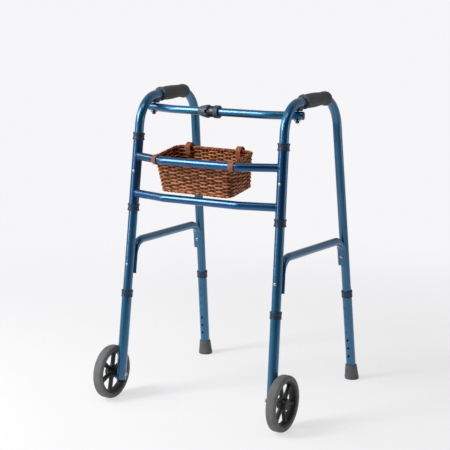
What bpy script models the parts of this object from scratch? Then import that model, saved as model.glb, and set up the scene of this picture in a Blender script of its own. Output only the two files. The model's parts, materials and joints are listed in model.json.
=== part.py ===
# Two-wheeled folding walker with a wicker basket.
# Frame: metres, +Z up, +X to the right as seen from the front, -Y is the front (wheel) side.
# The origin is on the floor under the middle of the walker's bounding box.
# "left" and "right" are as seen from the front.
import math

import bmesh
import bpy
from mathutils import Matrix, Vector

# Side frame: one bent tube, two legs and a handle. Heights on the legs are shares of the handle's height.
HANDLE_Z = 0.850          # height of the handle's axis
HANDLE_RUN = 0.2916       # front corner to rear corner, along Y
FRONT_LEAN = 7.23         # degrees, the front leg leans back going up
REAR_LEAN = 6.84          # degrees, the rear leg leans forward going up
LEG_SPLAY = 1.22          # degrees, the legs spread outward going down
CORNER_X = 0.2235         # half the distance between the two front corners
TOE_OUT = 0.0070          # the rear corners lie this much further out
FRONT_BEND = 0.085        # bend radius at the front of the handle
REAR_BEND = 0.095         # bend radius at the rear of the handle
LEG_R = 0.0127            # 1 inch tube
LEG_WALL = 0.0012
FRONT_TUBE_END = 0.2141 * HANDLE_Z   # lower end of the inner tube in the front leg
REAR_TUBE_END = 0.1565 * HANDLE_Z    # and in the rear leg

# Telescoping lower legs
EXT_R = 0.0140
EXT_WALL = 0.0010
HOLE_R = 0.0036
HOLE_PITCH = 0.0254
REAR_HOLES = 7
REAR_HOLE_Z = 0.0882 * HANDLE_Z      # lowest hole in the rear leg
REAR_SET = 3              # the button sits in this hole, counted from 0 at the bottom
FRONT_HOLES = 5
FRONT_HOLE_Z = 0.2353 * HANDLE_Z
FRONT_SET = 1
FRONT_COLLAR_Z = 0.3576 * HANDLE_Z   # middle of the front leg's collar
REAR_COLLAR_Z = 0.3141 * HANDLE_Z
COLLAR_R = 0.0163
COLLAR_TALL = 0.020
LIP = 0.003               # inner lip at the closed end of every collar and bush
BUTTON_R = 0.0031
BUTTON_FLANGE_R = 0.0050
BUTTON_DEPTH = 0.0062     # from the tube's surface to the button's inner end
BUTTON_SUNK = 0.0003      # the dome's top stays this far under the inner tube's surface
BUTTON_FLANGE = 0.0018

# Front frame: sleeves that the front legs turn in, joined by two crossbars
SLEEVE_R = 0.0140
SLEEVE_WALL = 0.0010
UPPER_BUSH_Z = 0.8729 * HANDLE_Z
LOWER_BUSH_Z = 0.6416 * HANDLE_Z
BUSH_R = 0.0168
BUSH_TALL = 0.0205
SLEEVE_RIVET_Z = 0.7600 * HANDLE_Z
BAR_R = 0.0111            # 7/8 inch tube, crossbars, braces and top bar
BAR_WALL = 0.0012
UPPER_BAR_Z = 0.8094 * HANDLE_Z
UPPER_BOW = 0.046         # the upper crossbar's middle stands this far forward
LOWER_BAR_Z = 0.6882 * HANDLE_Z
LOWER_BOW = 0.028
BOW_HALF = 0.117          # the crossbars' bends lie this far either side of the middle
BOW_BEND = 0.045

# Side braces
BRACE_FRONT_Z = 0.5288 * HANDLE_Z    # the brace's axis where it reaches the front leg
BRACE_REAR_Z = 0.5129 * HANDLE_Z
BRACE_END_Z = 0.4235 * HANDLE_Z      # lower ends
BRACE_BEND = 0.046
BRACE_FLAT_T = 0.0068     # half thickness of the flattened ends
BRACE_FLAT_W = 0.0135     # half width of the flattened ends
BRACE_FLAT_RUN = 0.045    # length over which the round tube turns flat
BRACE_RIVET_Z = 0.4541 * HANDLE_Z
RIVET_R = 0.0026
RIVET_HEAD_R = 0.0050
RIVET_HEAD_T = 0.0022

# Grips
GRIP_BACK = 0.0970        # from the front corner along the handle to the grip's front face
GRIP_RUN = 0.1450
GRIP_PROFILE = (          # share of the grip's length, radius
    (0.000, 0.0205), (0.012, 0.0222), (0.034, 0.0222), (0.048, 0.0188), (0.14, 0.0192),
    (0.30, 0.0198), (0.46, 0.0196), (0.62, 0.0186), (0.72, 0.0181), (0.80, 0.0186),
    (0.86, 0.0197), (0.91, 0.0196), (0.955, 0.0176), (1.000, 0.0148))

# Top bar: two halves, each bolted under its handle and latched in the middle
PIVOT_RUN = 0.0662        # from the front corner back to the pivot bolt
TOP_BAR_DROP = 0.0340     # the bar's axis lies this far below the handle's axis
TOP_BAR_Z = HANDLE_Z - TOP_BAR_DROP
TOP_BAR_BACK = 0.0422     # the bar's straight middle lies this far behind the front corners
TOP_BAR_KINK_X = 0.150
TOP_BAR_BEND = 0.120
TOP_BAR_OVERRUN = 0.0150  # the tube goes on past the bolt
BOLT_R = 0.0030
BOLT_COVER = 0.0028       # the bolt ends this far below the handle's tube, inside the bracket
BOLT_UP = TOP_BAR_DROP - LEG_R - BOLT_COVER
BRACKET_X = 0.0200
BRACKET_Y = 0.0240
BRACKET_WRAP = 0.0042     # the bracket's horns rise this far past the underside of the handle
BRACKET_TOP = HANDLE_Z - LEG_R + BRACKET_WRAP
PIVOT_ROOM = 0.0010       # the bar lies slightly askew to its bolt, so it needs this above and below
NUT_FLANGE_R = 0.0092
NUT_FLANGE_T = 0.0026
NUT_R = 0.0056
NUT_T = 0.0050
CAP_T = 0.0035
CAP_SPIGOT = 0.0080

# Clasp in the middle of the top bar
CONE_X = (-0.0615, -0.0380, -0.0325)    # thin end, start of the full width, joint face
CONE_R = (0.0123, 0.0187, 0.0187)
CONE_SOCKET = 0.0120      # depth of the tube's socket
CONE_EDGE = 0.0024        # bevel at its face, which lets it turn past the barrel
FORK_SLOT = 0.0104        # height of the slot that takes the tongue
JOINT_GAP = 0.0069        # free space between the two halves, so that either can swing away
TONGUE_T = 0.0088
TONGUE_W = 0.0240
TONGUE_IN = 0.0050        # the tongue reaches this far into the fork
TONGUE_ROOM = 0.0020      # free space past its tip, beyond the joint gap
BARREL_R = 0.0155
BARREL_LONG = 0.0175
BARREL_WEB = 0.0045
BARREL_EDGE = 0.0014
COLLAR_LONG = 0.0150
RELEASE_R = 0.0178
RELEASE_LAP = 0.0050      # the release collar overlaps the barrel by this much

# Wheels
WHEEL_R = 0.0759
TYRE_T = 0.0150
TYRE_W = 0.0270
WHEEL_OUT = 0.0326        # wheel's middle plane to the leg's axis
RIM_T = 0.0050
RIM_W = 0.0210
HUB_R = 0.0165
HUB_W = 0.0200
SPOKES = 6
SPOKE_W = 0.0090
SPOKE_T = 0.0090
WHEEL_TURN = {-1: 0.0, 1: 20.0}   # degrees from upright of each wheel's first spoke
AXLE_R = 0.0040
AXLE_HEAD_R = 0.0065
AXLE_HEAD_T = 0.0045
CAP_R = 0.0150            # push-on cap that holds the wheel on the axle
CAP_TALL = 0.0050
CAP_TOP = 0.0014
LEG_BELOW_AXLE = 0.0170

# Rubber feet
FERRULE_TOP_R = 0.0172
FERRULE_BASE_R = 0.0210
FERRULE_TALL = 0.0450
FERRULE_FLOOR = 0.0120

# Basket: upright stakes, courses of rods woven round them, a rolled rim
BASKET_RIM = (0.2570, 0.1250)           # width and depth over the wall, under the rim
BASKET_BASE = (0.2310, 0.1220)
BASKET_TALL = 0.1017
BASKET_WALL = 0.0048                    # over the waves of the weave, inside to outside
BASKET_WAVE = 0.0020                    # a rod lies this much further out before a stake than behind one
BASKET_STAKES = 28                      # an even number, so that the courses alternate all round
BASKET_COURSES = 17
BASKET_ROLL_R = 0.0050                  # the rolled rim
BASKET_FLOOR = 0.0045
BASKET_CORNER = 0.0220
BASKET_CLEAR = 0.0016                   # least free space between the rim and the upper crossbar
BASKET_X = -0.0395                      # it hangs a little to the left of the middle
BASKET_RIM_Z = UPPER_BAR_Z + 0.0060     # top of the front rim
BASKET_TILT = 8.8                       # degrees, the back rim stands higher
BASKET_YAW = -3.0                       # degrees, its left end hangs further back, as the bar bends away there
STRAP_T = 0.0024
STRAP_W = 0.0165
FRONT_STRAPS = ((-1, -0.1385, 14.0), (1, 0.1025, 42.0))   # side, x on the bar, degrees round the corner
REAR_STRAP_X = (-0.1205, 0.0430)        # along the basket's back wall
REAR_STRAP_UP = 0.0062                  # the rear loops' bends clear the rim by this much
REAR_STRAP_DOWN = 0.0300
REAR_STRAP_TURN = 0.0070                # inner radius of their bends

CLEAR = 0.0003            # gap between pieces that touch
SIDES = 16                # facets round legs, sleeves and fittings
BAR_SIDES = 12            # facets round the thinner bars
WHEEL_SIDES = 32
BEND_STEP = 15.0          # degrees of bend in one facet

SIDE_NAME = {-1: "left", 1: "right"}
UP = Vector((0, 0, 1))


def tan(degrees):
    return math.tan(math.radians(degrees))


# Y of the front corner, which puts the bounding box's middle over the origin
FOOT_FORWARD = HANDLE_Z * tan(FRONT_LEAN)
FOOT_BACK = HANDLE_Z * tan(REAR_LEAN)
FRONT_REACH = -FOOT_FORWARD + WHEEL_R * tan(FRONT_LEAN) - WHEEL_R
REAR_REACH = HANDLE_RUN + FOOT_BACK + FERRULE_BASE_R
CORNER_Y = -(FRONT_REACH + REAR_REACH) / 2

MATERIALS = {
    "blue_metal": ((0.035, 0.17, 0.36), 0.26, 0.85),
    "deep_blue_metal": ((0.012, 0.08, 0.24), 0.22, 0.85),
    "dark_plastic": ((0.05, 0.055, 0.065), 0.45, 0.0),
    "grip_vinyl": ((0.065, 0.066, 0.066), 0.75, 0.0),
    "black_plastic": ((0.012, 0.012, 0.013), 0.40, 0.0),
    "grey_rubber": ((0.13, 0.13, 0.13), 0.80, 0.0),
    "zinc_steel": ((0.62, 0.63, 0.64), 0.30, 1.0),
    "dark_steel": ((0.06, 0.06, 0.065), 0.40, 1.0),
    "barrel_aluminium": ((0.42, 0.45, 0.48), 0.30, 1.0),
    "wicker": ((0.21, 0.085, 0.04), 0.65, 0.0),
    "leather": ((0.27, 0.10, 0.05), 0.55, 0.0),
}


def clear_scene():
    for old in list(bpy.data.objects):
        bpy.data.objects.remove(old, do_unlink=True)


def collection(name):
    made = bpy.data.collections.new(name)
    bpy.context.scene.collection.children.link(made)
    return made


clear_scene()
PARTS = collection("walker")
CUTTERS = collection("cutters")
ROOT = bpy.data.objects.new("walker_frame", None)
PARTS.objects.link(ROOT)


def material(name):
    if name in bpy.data.materials:
        return bpy.data.materials[name]
    colour, roughness, metallic = MATERIALS[name]
    made = bpy.data.materials.new(name)
    made.use_nodes = True
    shader = made.node_tree.nodes["Principled BSDF"]
    shader.inputs["Base Color"].default_value = (*colour, 1.0)
    shader.inputs["Roughness"].default_value = roughness
    shader.inputs["Metallic"].default_value = metallic
    return made


def place(obj, carrier):
    """Hangs a part on its carrier's empty and keeps it where it is."""
    bpy.context.view_layer.update()
    obj.parent = carrier
    obj.matrix_parent_inverse = carrier.matrix_world.inverted()


def part(name, mesh, finish, carrier, pose=None):
    obj = bpy.data.objects.new(name, mesh)
    PARTS.objects.link(obj)
    obj.matrix_world = pose or Matrix()
    mesh.materials.clear()
    mesh.materials.append(material(finish))
    mesh.shade_smooth()
    mesh.set_sharp_from_angle(angle=math.radians(40))
    place(obj, carrier)
    return obj


def cutter(name, mesh, pose=None):
    obj = bpy.data.objects.new(name, mesh)
    CUTTERS.objects.link(obj)
    obj.matrix_world = pose or Matrix()
    obj.hide_render = True
    obj.display_type = "WIRE"
    return obj


def boolean(obj, other, operation="DIFFERENCE"):
    step = obj.modifiers.new(other.name, "BOOLEAN")
    step.operation = operation
    step.object = other


def pivot(name, at, parent):
    """An empty on a joint's axis, which carries the pieces that move there."""
    empty = bpy.data.objects.new(name, None)
    PARTS.objects.link(empty)
    empty.location = at
    empty.empty_display_size = 0.02
    place(empty, parent)
    bpy.context.view_layer.update()
    return empty


def along(direction, at, across=None):
    """A placing matrix whose Z axis runs along direction, with X near across."""
    z = direction.normalized()
    x = across or (UP if abs(z.x) > 0.9 else Vector((1, 0, 0)))
    x = (x - z * x.dot(z)).normalized()
    turn = Matrix((x, z.cross(x), z)).transposed().to_4x4()
    return Matrix.Translation(at) @ turn


def ring_mesh(name, profile, sides=SIDES, closed=True):
    """Turns a profile of (radius, height) points, outer side from top to bottom."""
    shape = bmesh.new()
    verts = [shape.verts.new((radius, 0, height)) for radius, height in profile]
    for first, second in zip(verts, verts[1:]):
        shape.edges.new((first, second))
    if closed:
        shape.edges.new((verts[-1], verts[0]))
    mesh = bpy.data.meshes.new(name)
    shape.to_mesh(mesh)
    shape.free()
    holder = bpy.data.objects.new(name, mesh)
    bpy.context.scene.collection.objects.link(holder)
    screw = holder.modifiers.new("turn", "SCREW")
    screw.steps = screw.render_steps = sides
    screw.use_merge_vertices = True
    screw.merge_threshold = 0.00001
    bpy.context.view_layer.update()
    turned = bpy.data.meshes.new_from_object(holder.evaluated_get(bpy.context.evaluated_depsgraph_get()))
    bpy.data.objects.remove(holder, do_unlink=True)
    bpy.data.meshes.remove(mesh)
    turned.name = name
    return turned


def rod_mesh(name, radius, low, high, sides=SIDES):
    return ring_mesh(name, [(0, high), (radius, high), (radius, low), (0, low)], sides, closed=False)


def box_mesh(name, size, centre=(0, 0, 0)):
    shape = bmesh.new()
    bmesh.ops.create_cube(shape, size=1.0)
    bmesh.ops.scale(shape, vec=Vector(size), verts=shape.verts)
    bmesh.ops.translate(shape, vec=Vector(centre), verts=shape.verts)
    mesh = bpy.data.meshes.new(name)
    shape.to_mesh(mesh)
    shape.free()
    return mesh


def rounded_path(corners, radii):
    """A polyline whose inner corners are turned into arcs of the given radii."""
    points = [corners[0]]
    for before, corner, after, radius in zip(corners, corners[1:-1], corners[2:], radii):
        come, leave = (corner - before).normalized(), (after - corner).normalized()
        turn = come.angle(leave)
        back = radius * math.tan(turn / 2)
        start = corner - come * back
        inward = (leave - come * leave.dot(come)).normalized()
        steps = max(2, round(math.degrees(turn) / BEND_STEP))
        for step in range(steps + 1):
            angle = turn * step / steps
            points.append(start + come * radius * math.sin(angle) + inward * radius * (1 - math.cos(angle)))
    points.append(corners[-1])
    return points


def swept_mesh(name, points, radii, sides=SIDES, caps=True):
    """A round bar along points, from a curve whose radius follows radii."""
    curve = bpy.data.curves.new(name, "CURVE")
    curve.dimensions = "3D"
    curve.twist_mode = "MINIMUM"
    curve.bevel_depth = 1.0
    curve.bevel_resolution = (sides - 4) // 2
    curve.use_fill_caps = caps
    spline = curve.splines.new("POLY")
    spline.points.add(len(points) - 1)
    for slot, point, radius in zip(spline.points, points, radii):
        slot.co = (*point, 1.0)
        slot.radius = radius
    holder = bpy.data.objects.new(name, curve)
    bpy.context.scene.collection.objects.link(holder)
    bpy.context.view_layer.update()
    mesh = bpy.data.meshes.new_from_object(holder.evaluated_get(bpy.context.evaluated_depsgraph_get()))
    bpy.data.objects.remove(holder, do_unlink=True)
    bpy.data.curves.remove(curve)
    shape = bmesh.new()
    shape.from_mesh(mesh)
    bmesh.ops.remove_doubles(shape, verts=shape.verts, dist=0.00001)
    shape.to_mesh(mesh)
    shape.free()
    mesh.name = name
    return mesh


def bar_mesh(name, points, radius):
    return swept_mesh(name, points, [radius] * len(points))


def tube(name, points, radius, wall, finish, carrier, sides=SIDES):
    """A hollow tube, open at both ends, along points."""
    mesh = swept_mesh(name, points, [radius] * len(points), sides, caps=False)
    obj = part(name, mesh, finish, carrier)
    shell = obj.modifiers.new("wall", "SOLIDIFY")
    shell.thickness = wall
    shell.offset = -1
    shell.use_even_offset = True
    return obj


class Side:
    """The lines of one side frame, sign -1 left and 1 right."""

    def __init__(self, sign):
        self.sign = sign
        self.name = SIDE_NAME[sign]
        splay = HANDLE_Z * tan(LEG_SPLAY)
        self.front_top = Vector((sign * CORNER_X, CORNER_Y, HANDLE_Z))
        self.rear_top = Vector((sign * (CORNER_X + TOE_OUT), CORNER_Y + HANDLE_RUN, HANDLE_Z))
        front_foot = Vector((sign * (CORNER_X + splay), CORNER_Y - FOOT_FORWARD, 0))
        self.front_axis = (self.front_top - front_foot).normalized()
        self.back = (self.rear_top - self.front_top).normalized()
        self.out = self.back.cross(self.front_axis).normalized() * sign
        # the rear leg lies in the plane of the front leg and the handle
        down = Vector((0, tan(REAR_LEAN), -1))
        down.x = -down.dot(self.out) / self.out.x
        self.rear_axis = -down.normalized()

    def front(self, z):
        return self.front_top + self.front_axis * ((z - HANDLE_Z) / self.front_axis.z)

    def rear(self, z):
        return self.rear_top + self.rear_axis * ((z - HANDLE_Z) / self.rear_axis.z)

    def leg(self, end, z):
        return self.front(z) if end == "front" else self.rear(z)

    def axis(self, end):
        return self.front_axis if end == "front" else self.rear_axis

    def inward(self, end):
        """Square to a leg, in the side's plane, toward the other leg of the side."""
        axis = self.axis(end)
        way = self.back if end == "front" else -self.back
        return (way - axis * way.dot(axis)).normalized()

    def hinge(self, name):
        return pivot(name, self.front(LOWER_BUSH_Z), ROOT)


def cap_ring(name, radius, tall, tube_r, finish, carrier, pose, lip_up=True):
    """A moulded ring round a tube's end, with a lip that closes on the inner tube."""
    bore, neck, half = tube_r + CLEAR, LEG_R + CLEAR, tall / 2
    soft = 0.0012
    profile = [(neck, half), (radius - soft, half), (radius, half - soft), (radius, -half),
               (bore, -half), (bore, half - LIP), (neck, half - LIP)]
    mesh = ring_mesh(name, profile)
    flip = Matrix() if lip_up else Matrix.Rotation(math.pi, 4, "X")
    return part(name, mesh, finish, carrier, pose @ flip)


def rivet(name, at, direction, length, finish, carrier):
    """A domed head at the surface with a short shank behind it."""
    profile = [(0, RIVET_HEAD_T), (RIVET_HEAD_R * 0.55, RIVET_HEAD_T * 0.85), (RIVET_HEAD_R, RIVET_HEAD_T * 0.3),
               (RIVET_HEAD_R, 0), (RIVET_R, 0), (RIVET_R, -length), (0, -length)]
    return part(name, ring_mesh(name, profile, 12, closed=False), finish, carrier, along(direction, at))


def drill(name, radius, at, direction, low, high, sides=12):
    return cutter(name, rod_mesh(name, radius, low, high, sides), along(direction, at))


def side_tube(side, carrier):
    corners = [side.front(FRONT_TUBE_END), side.front_top, side.rear_top, side.rear(REAR_TUBE_END)]
    points = rounded_path(corners, [FRONT_BEND, REAR_BEND])
    obj = tube(f"side_tube_{side.name}", points, LEG_R, LEG_WALL, "blue_metal", carrier)
    for end in ("front", "rear"):
        at = side.leg(end, set_height(end))
        hole = drill(f"button_hole_{end}_{side.name}", BUTTON_R + CLEAR, at, button_way(side, end),
                     LEG_R / 2, LEG_R * 1.3)
        boolean(obj, hole)
    return obj, points


def set_height(end):
    low, index = (FRONT_HOLE_Z, FRONT_SET) if end == "front" else (REAR_HOLE_Z, REAR_SET)
    return low + index * HOLE_PITCH


def button_way(side, end):
    """The snap buttons face the rear on all four legs."""
    way = side.inward(end)
    return way if end == "front" else -way


def extension(side, end, carrier):
    """The lower leg: outer tube with its row of holes."""
    name = f"lower_leg_{end}_{side.name}"
    axis = side.axis(end)
    collar_z = FRONT_COLLAR_Z if end == "front" else REAR_COLLAR_Z
    top = side.leg(end, collar_z) + axis * (COLLAR_TALL / 2 - LIP - CLEAR)
    if end == "front":
        bottom = side.leg(end, WHEEL_R) - axis * LEG_BELOW_AXLE
    else:
        bottom = side.leg(end, FERRULE_FLOOR) + axis * (EXT_R * tan(REAR_LEAN) + CLEAR)
    obj = tube(name, [bottom, top], EXT_R, EXT_WALL, "blue_metal", carrier, SIDES)
    low, count = (FRONT_HOLE_Z, FRONT_HOLES) if end == "front" else (REAR_HOLE_Z, REAR_HOLES)
    reach = -EXT_R * 1.3 if end == "rear" else EXT_R / 2
    for index in range(count):
        at = side.leg(end, low) + axis * index * HOLE_PITCH
        boolean(obj, drill(f"{name}_hole_{index}", HOLE_R, at, button_way(side, end), reach, EXT_R * 1.3, 8))
    return obj


def snap_button(side, end, carrier):
    top = LEG_R - BUTTON_SUNK
    inner = top - BUTTON_DEPTH
    profile = [(0, top), (BUTTON_R * 0.6, top - 0.0004), (BUTTON_R, top - 0.0015), (BUTTON_R, inner + BUTTON_FLANGE),
               (BUTTON_FLANGE_R, inner + BUTTON_FLANGE), (BUTTON_FLANGE_R, inner), (0, inner)]
    name = f"snap_button_{end}_{side.name}"
    mesh = ring_mesh(name, profile, 12, closed=False)
    pose = along(button_way(side, end), side.leg(end, set_height(end)))
    return part(name, mesh, "zinc_steel", carrier, pose)


def leg_collar(side, end, carrier):
    z = FRONT_COLLAR_Z if end == "front" else REAR_COLLAR_Z
    pose = along(side.axis(end), side.leg(end, z))
    return cap_ring(f"leg_collar_{end}_{side.name}", COLLAR_R, COLLAR_TALL, EXT_R, "dark_plastic", carrier, pose)


def ferrule(side, carrier):
    """The rubber foot, turned upright and then sheared to follow the leaning leg."""
    bore = EXT_R + 2 * CLEAR
    mid = (FERRULE_TOP_R + FERRULE_BASE_R) / 2
    profile = [(0, FERRULE_FLOOR), (bore, FERRULE_FLOOR), (bore, FERRULE_TALL), (FERRULE_TOP_R - 0.001, FERRULE_TALL),
               (FERRULE_TOP_R, FERRULE_TALL - 0.002), (mid, FERRULE_TALL * 0.5),
               (FERRULE_BASE_R, FERRULE_TALL * 0.22), (FERRULE_BASE_R, 0.0012), (FERRULE_BASE_R - 0.0012, 0), (0, 0)]
    name = f"ferrule_{side.name}"
    mesh = ring_mesh(name, profile, SIDES, closed=False)
    lean = Matrix()
    lean[0][2] = side.rear_axis.x / side.rear_axis.z
    lean[1][2] = side.rear_axis.y / side.rear_axis.z
    mesh.transform(lean)
    return part(name, mesh, "grey_rubber", carrier, Matrix.Translation(side.rear(0)))


def axle_line(side):
    """The wheel's axle: a line along X through the front leg."""
    return side.front(WHEEL_R), Vector((side.sign, 0, 0))


def axle(side, carrier):
    at, way = axle_line(side)
    start = -EXT_R - CLEAR
    end = WHEEL_OUT + HUB_W / 2 + CAP_TALL - CAP_TOP
    profile = [(0, end), (AXLE_R, end), (AXLE_R, start), (AXLE_HEAD_R, start), (AXLE_HEAD_R, start - AXLE_HEAD_T * 0.6),
               (AXLE_HEAD_R * 0.6, start - AXLE_HEAD_T), (0, start - AXLE_HEAD_T)]
    name = f"axle_bolt_{side.name}"
    return part(name, ring_mesh(name, profile, 12, closed=False), "zinc_steel", carrier, along(way, at))


def hub_cap(side, carrier):
    """The push-on cap at the axle's outer end."""
    at, way = axle_line(side)
    low = WHEEL_OUT + HUB_W / 2 + CLEAR
    high = low + CAP_TALL
    bore, floor = AXLE_R + CLEAR, high - CAP_TOP
    profile = [(0, high), (CAP_R * 0.72, high), (CAP_R, high - 0.0022), (CAP_R, low), (bore, low), (bore, floor),
               (0, floor)]
    name = f"hub_cap_{side.name}"
    return part(name, ring_mesh(name, profile, SIDES, closed=False), "black_plastic", carrier, along(way, at))


def wheel_hub(side, carrier):
    """Rim, spokes and hub in one moulding, with the bore for the axle."""
    at, way = axle_line(side)
    pose = along(way, at + way * WHEEL_OUT)
    rim_out = WHEEL_R - TYRE_T - CLEAR
    rim_in = rim_out - RIM_T
    name = f"wheel_centre_{side.name}"
    half = RIM_W / 2
    rim = ring_mesh(name, [(rim_in, half), (rim_out, half), (rim_out, -half), (rim_in, -half)], WHEEL_SIDES)
    obj = part(name, rim, "black_plastic", carrier, pose)
    boss = ring_mesh("boss", [(0, HUB_W / 2), (HUB_R, HUB_W / 2), (HUB_R, -WHEEL_OUT + EXT_R + CLEAR),
                              (0, -WHEEL_OUT + EXT_R + CLEAR)], 18, closed=False)
    spokes = cutter(f"hub_{side.name}", boss, pose)
    boolean(obj, spokes, "UNION")
    first = math.radians(WHEEL_TURN[side.sign]) * -side.sign
    for index in range(SPOKES):
        turn = Matrix.Rotation(2 * math.pi * index / SPOKES + first, 4, "Z")
        start, stop = HUB_R / 2, rim_in + RIM_T / 2
        blade = box_mesh("spoke", (stop - start, SPOKE_W, SPOKE_T), ((start + stop) / 2, 0, 0))
        boolean(obj, cutter(f"spoke_{index}_{side.name}", blade, pose @ turn), "UNION")
    boolean(obj, drill(f"axle_bore_{side.name}", AXLE_R + CLEAR, at, way, 0, WHEEL_OUT * 2))
    return obj


def tyre(side, carrier):
    at, way = axle_line(side)
    half, inner, crown = TYRE_W / 2, WHEEL_R - TYRE_T, 0.0045
    profile = [(inner, half * 0.9), (inner + TYRE_T * 0.45, half), (WHEEL_R - crown, half * 0.82), (WHEEL_R, half * 0.40),
               (WHEEL_R, -half * 0.40), (WHEEL_R - crown, -half * 0.82), (inner + TYRE_T * 0.45, -half), (inner, -half * 0.9)]
    name = f"tyre_{side.name}"
    mesh = ring_mesh(name, profile, WHEEL_SIDES)
    return part(name, mesh, "grey_rubber", carrier, along(way, at + way * WHEEL_OUT))


def sleeve(side):
    """The outer tube round the front leg that both crossbars are joined to."""
    axis = side.front_axis
    rise = (UPPER_BUSH_Z - LOWER_BUSH_Z) / axis.z + BUSH_TALL - 2 * (LIP + CLEAR)
    low = side.front(LOWER_BUSH_Z) - axis * (BUSH_TALL / 2 - LIP - CLEAR)
    obj = tube(f"sleeve_{side.name}", [low, low + axis * rise], SLEEVE_R, SLEEVE_WALL, "deep_blue_metal", ROOT, SIDES)
    hole = drill(f"sleeve_hole_{side.name}", RIVET_R + CLEAR, side.front(SLEEVE_RIVET_Z), -side.inward("front"),
                 SLEEVE_R / 2, SLEEVE_R * 1.3)
    boolean(obj, hole)
    for level, z in (("upper", UPPER_BUSH_Z), ("lower", LOWER_BUSH_Z)):
        cap_ring(f"bush_{level}_{side.name}", BUSH_R, BUSH_TALL, SLEEVE_R, "dark_plastic", ROOT,
                 along(axis, side.front(z)), lip_up=level == "upper")
    at = side.front(SLEEVE_RIVET_Z) - side.inward("front") * (SLEEVE_R + CLEAR)
    rivet(f"sleeve_rivet_{side.name}", at, -side.inward("front"), SLEEVE_WALL + CLEAR, "zinc_steel", ROOT)


def crossbar(level, z, bow, sides):
    """A bowed bar between the sleeves, coped to them at both ends."""
    left, right = sides[-1].front(z), sides[1].front(z)
    front_y = left.y - bow
    corners = [left, Vector((-BOW_HALF, front_y, z)), Vector((BOW_HALF, front_y, z)), right]
    points = rounded_path(corners, [BOW_BEND, BOW_BEND])
    obj = tube(f"crossbar_{level}", points, BAR_R, BAR_WALL, "deep_blue_metal", ROOT, BAR_SIDES)
    for sign, side in sides.items():
        reach = BAR_R * 3
        boolean(obj, drill(f"cope_{level}_{side.name}", SLEEVE_R + CLEAR, side.front(z), side.front_axis,
                           -reach, reach, SIDES))
    return points


def brace_points(side):
    """Corner points of the brace's axis, its ends running down along both legs."""
    off = LEG_R + BRACE_FLAT_T + CLEAR
    front_low = side.front(BRACE_END_Z) + side.inward("front") * off
    rear_low = side.rear(BRACE_END_Z) + side.inward("rear") * off
    front_high = side.front(BRACE_FRONT_Z) + side.inward("front") * off
    rear_high = side.rear(BRACE_REAR_Z) + side.inward("rear") * off
    return [front_low, front_high, rear_high, rear_low]


def brace(side, carrier):
    """Round in the middle, pressed flat where it lies on the legs."""
    points = rounded_path(brace_points(side), [BRACE_BEND, BRACE_BEND])
    lengths = [0.0]
    for first, second in zip(points, points[1:]):
        lengths.append(lengths[-1] + (second - first).length)
    total = lengths[-1]
    flat_end = (points[1] - points[0]).length
    rings_out, rings_in = [], []
    stations = extra_stations(points, lengths, flat_end)
    for point, run, tangent in stations:
        near = min(run, total - run)
        round_share = min(1.0, max(0.0, (near - flat_end) / BRACE_FLAT_RUN))
        round_share = round_share * round_share * (3 - 2 * round_share)
        thick = BRACE_FLAT_T + (BAR_R - BRACE_FLAT_T) * round_share
        wide = BRACE_FLAT_W + (BAR_R - BRACE_FLAT_W) * round_share
        normal = side.out
        binormal = tangent.cross(normal).normalized()
        rings_out.append(oval(point, binormal, normal, thick, wide))
        rings_in.append(oval(point, binormal, normal, thick - BAR_WALL, wide - BAR_WALL))
    name = f"brace_{side.name}"
    obj = part(name, hollow_loft(name, rings_out, rings_in), "blue_metal", carrier)
    for end in ("front", "rear"):
        at = side.leg(end, BRACE_RIVET_Z)
        boolean(obj, drill(f"brace_hole_{end}_{side.name}", RIVET_R + CLEAR, at, side.inward(end), 0, LEG_R * 3))
    return obj


def extra_stations(points, lengths, flat_end):
    """Rings along the brace: every point of its path, with its tangent."""
    stations = []
    for index, point in enumerate(points):
        before = points[max(0, index - 1)]
        after = points[min(len(points) - 1, index + 1)]
        stations.append((point, lengths[index], (after - before).normalized()))
    return stations


def oval(centre, first, second, first_r, second_r, count=BAR_SIDES):
    ring = []
    for index in range(count):
        angle = 2 * math.pi * index / count
        ring.append(centre + first * first_r * math.cos(angle) + second * second_r * math.sin(angle))
    return ring


def loop_faces(shape, first, second):
    count = len(first)
    for index in range(count):
        after = (index + 1) % count
        shape.faces.new((first[index], first[after], second[after], second[index]))


def hollow_loft(name, outer, inner):
    """A closed shell between outer rings and inner rings, open at both ends."""
    shape = bmesh.new()
    out = [[shape.verts.new(point) for point in ring] for ring in outer]
    ins = [[shape.verts.new(point) for point in ring] for ring in inner]
    for first, second in zip(out, out[1:]):
        loop_faces(shape, first, second)
    for first, second in zip(ins, ins[1:]):
        loop_faces(shape, second, first)
    loop_faces(shape, ins[0], out[0])
    loop_faces(shape, out[-1], ins[-1])
    bmesh.ops.recalc_face_normals(shape, faces=shape.faces)
    mesh = bpy.data.meshes.new(name)
    shape.to_mesh(mesh)
    shape.free()
    return mesh


def brace_rivets(side, carrier, leg):
    """Rivets through leg and brace, with their heads on the front side of the leg or brace."""
    for end in ("front", "rear"):
        at = side.leg(end, BRACE_RIVET_Z)
        inward = side.inward(end)
        outer = LEG_R + CLEAR
        behind = LEG_R + CLEAR + BRACE_FLAT_T * 2 + CLEAR
        name = f"brace_rivet_{end}_{side.name}"
        if end == "front":
            start, way, length = at - inward * outer, -inward, outer + behind
        else:
            start, way, length = at + inward * behind, inward, outer + behind
        rivet(name, start, way, length, "zinc_steel", carrier)
        boolean(leg, drill(f"leg_hole_{name}", RIVET_R + CLEAR, at, inward, -LEG_R * 1.3, LEG_R * 1.3))


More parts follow.
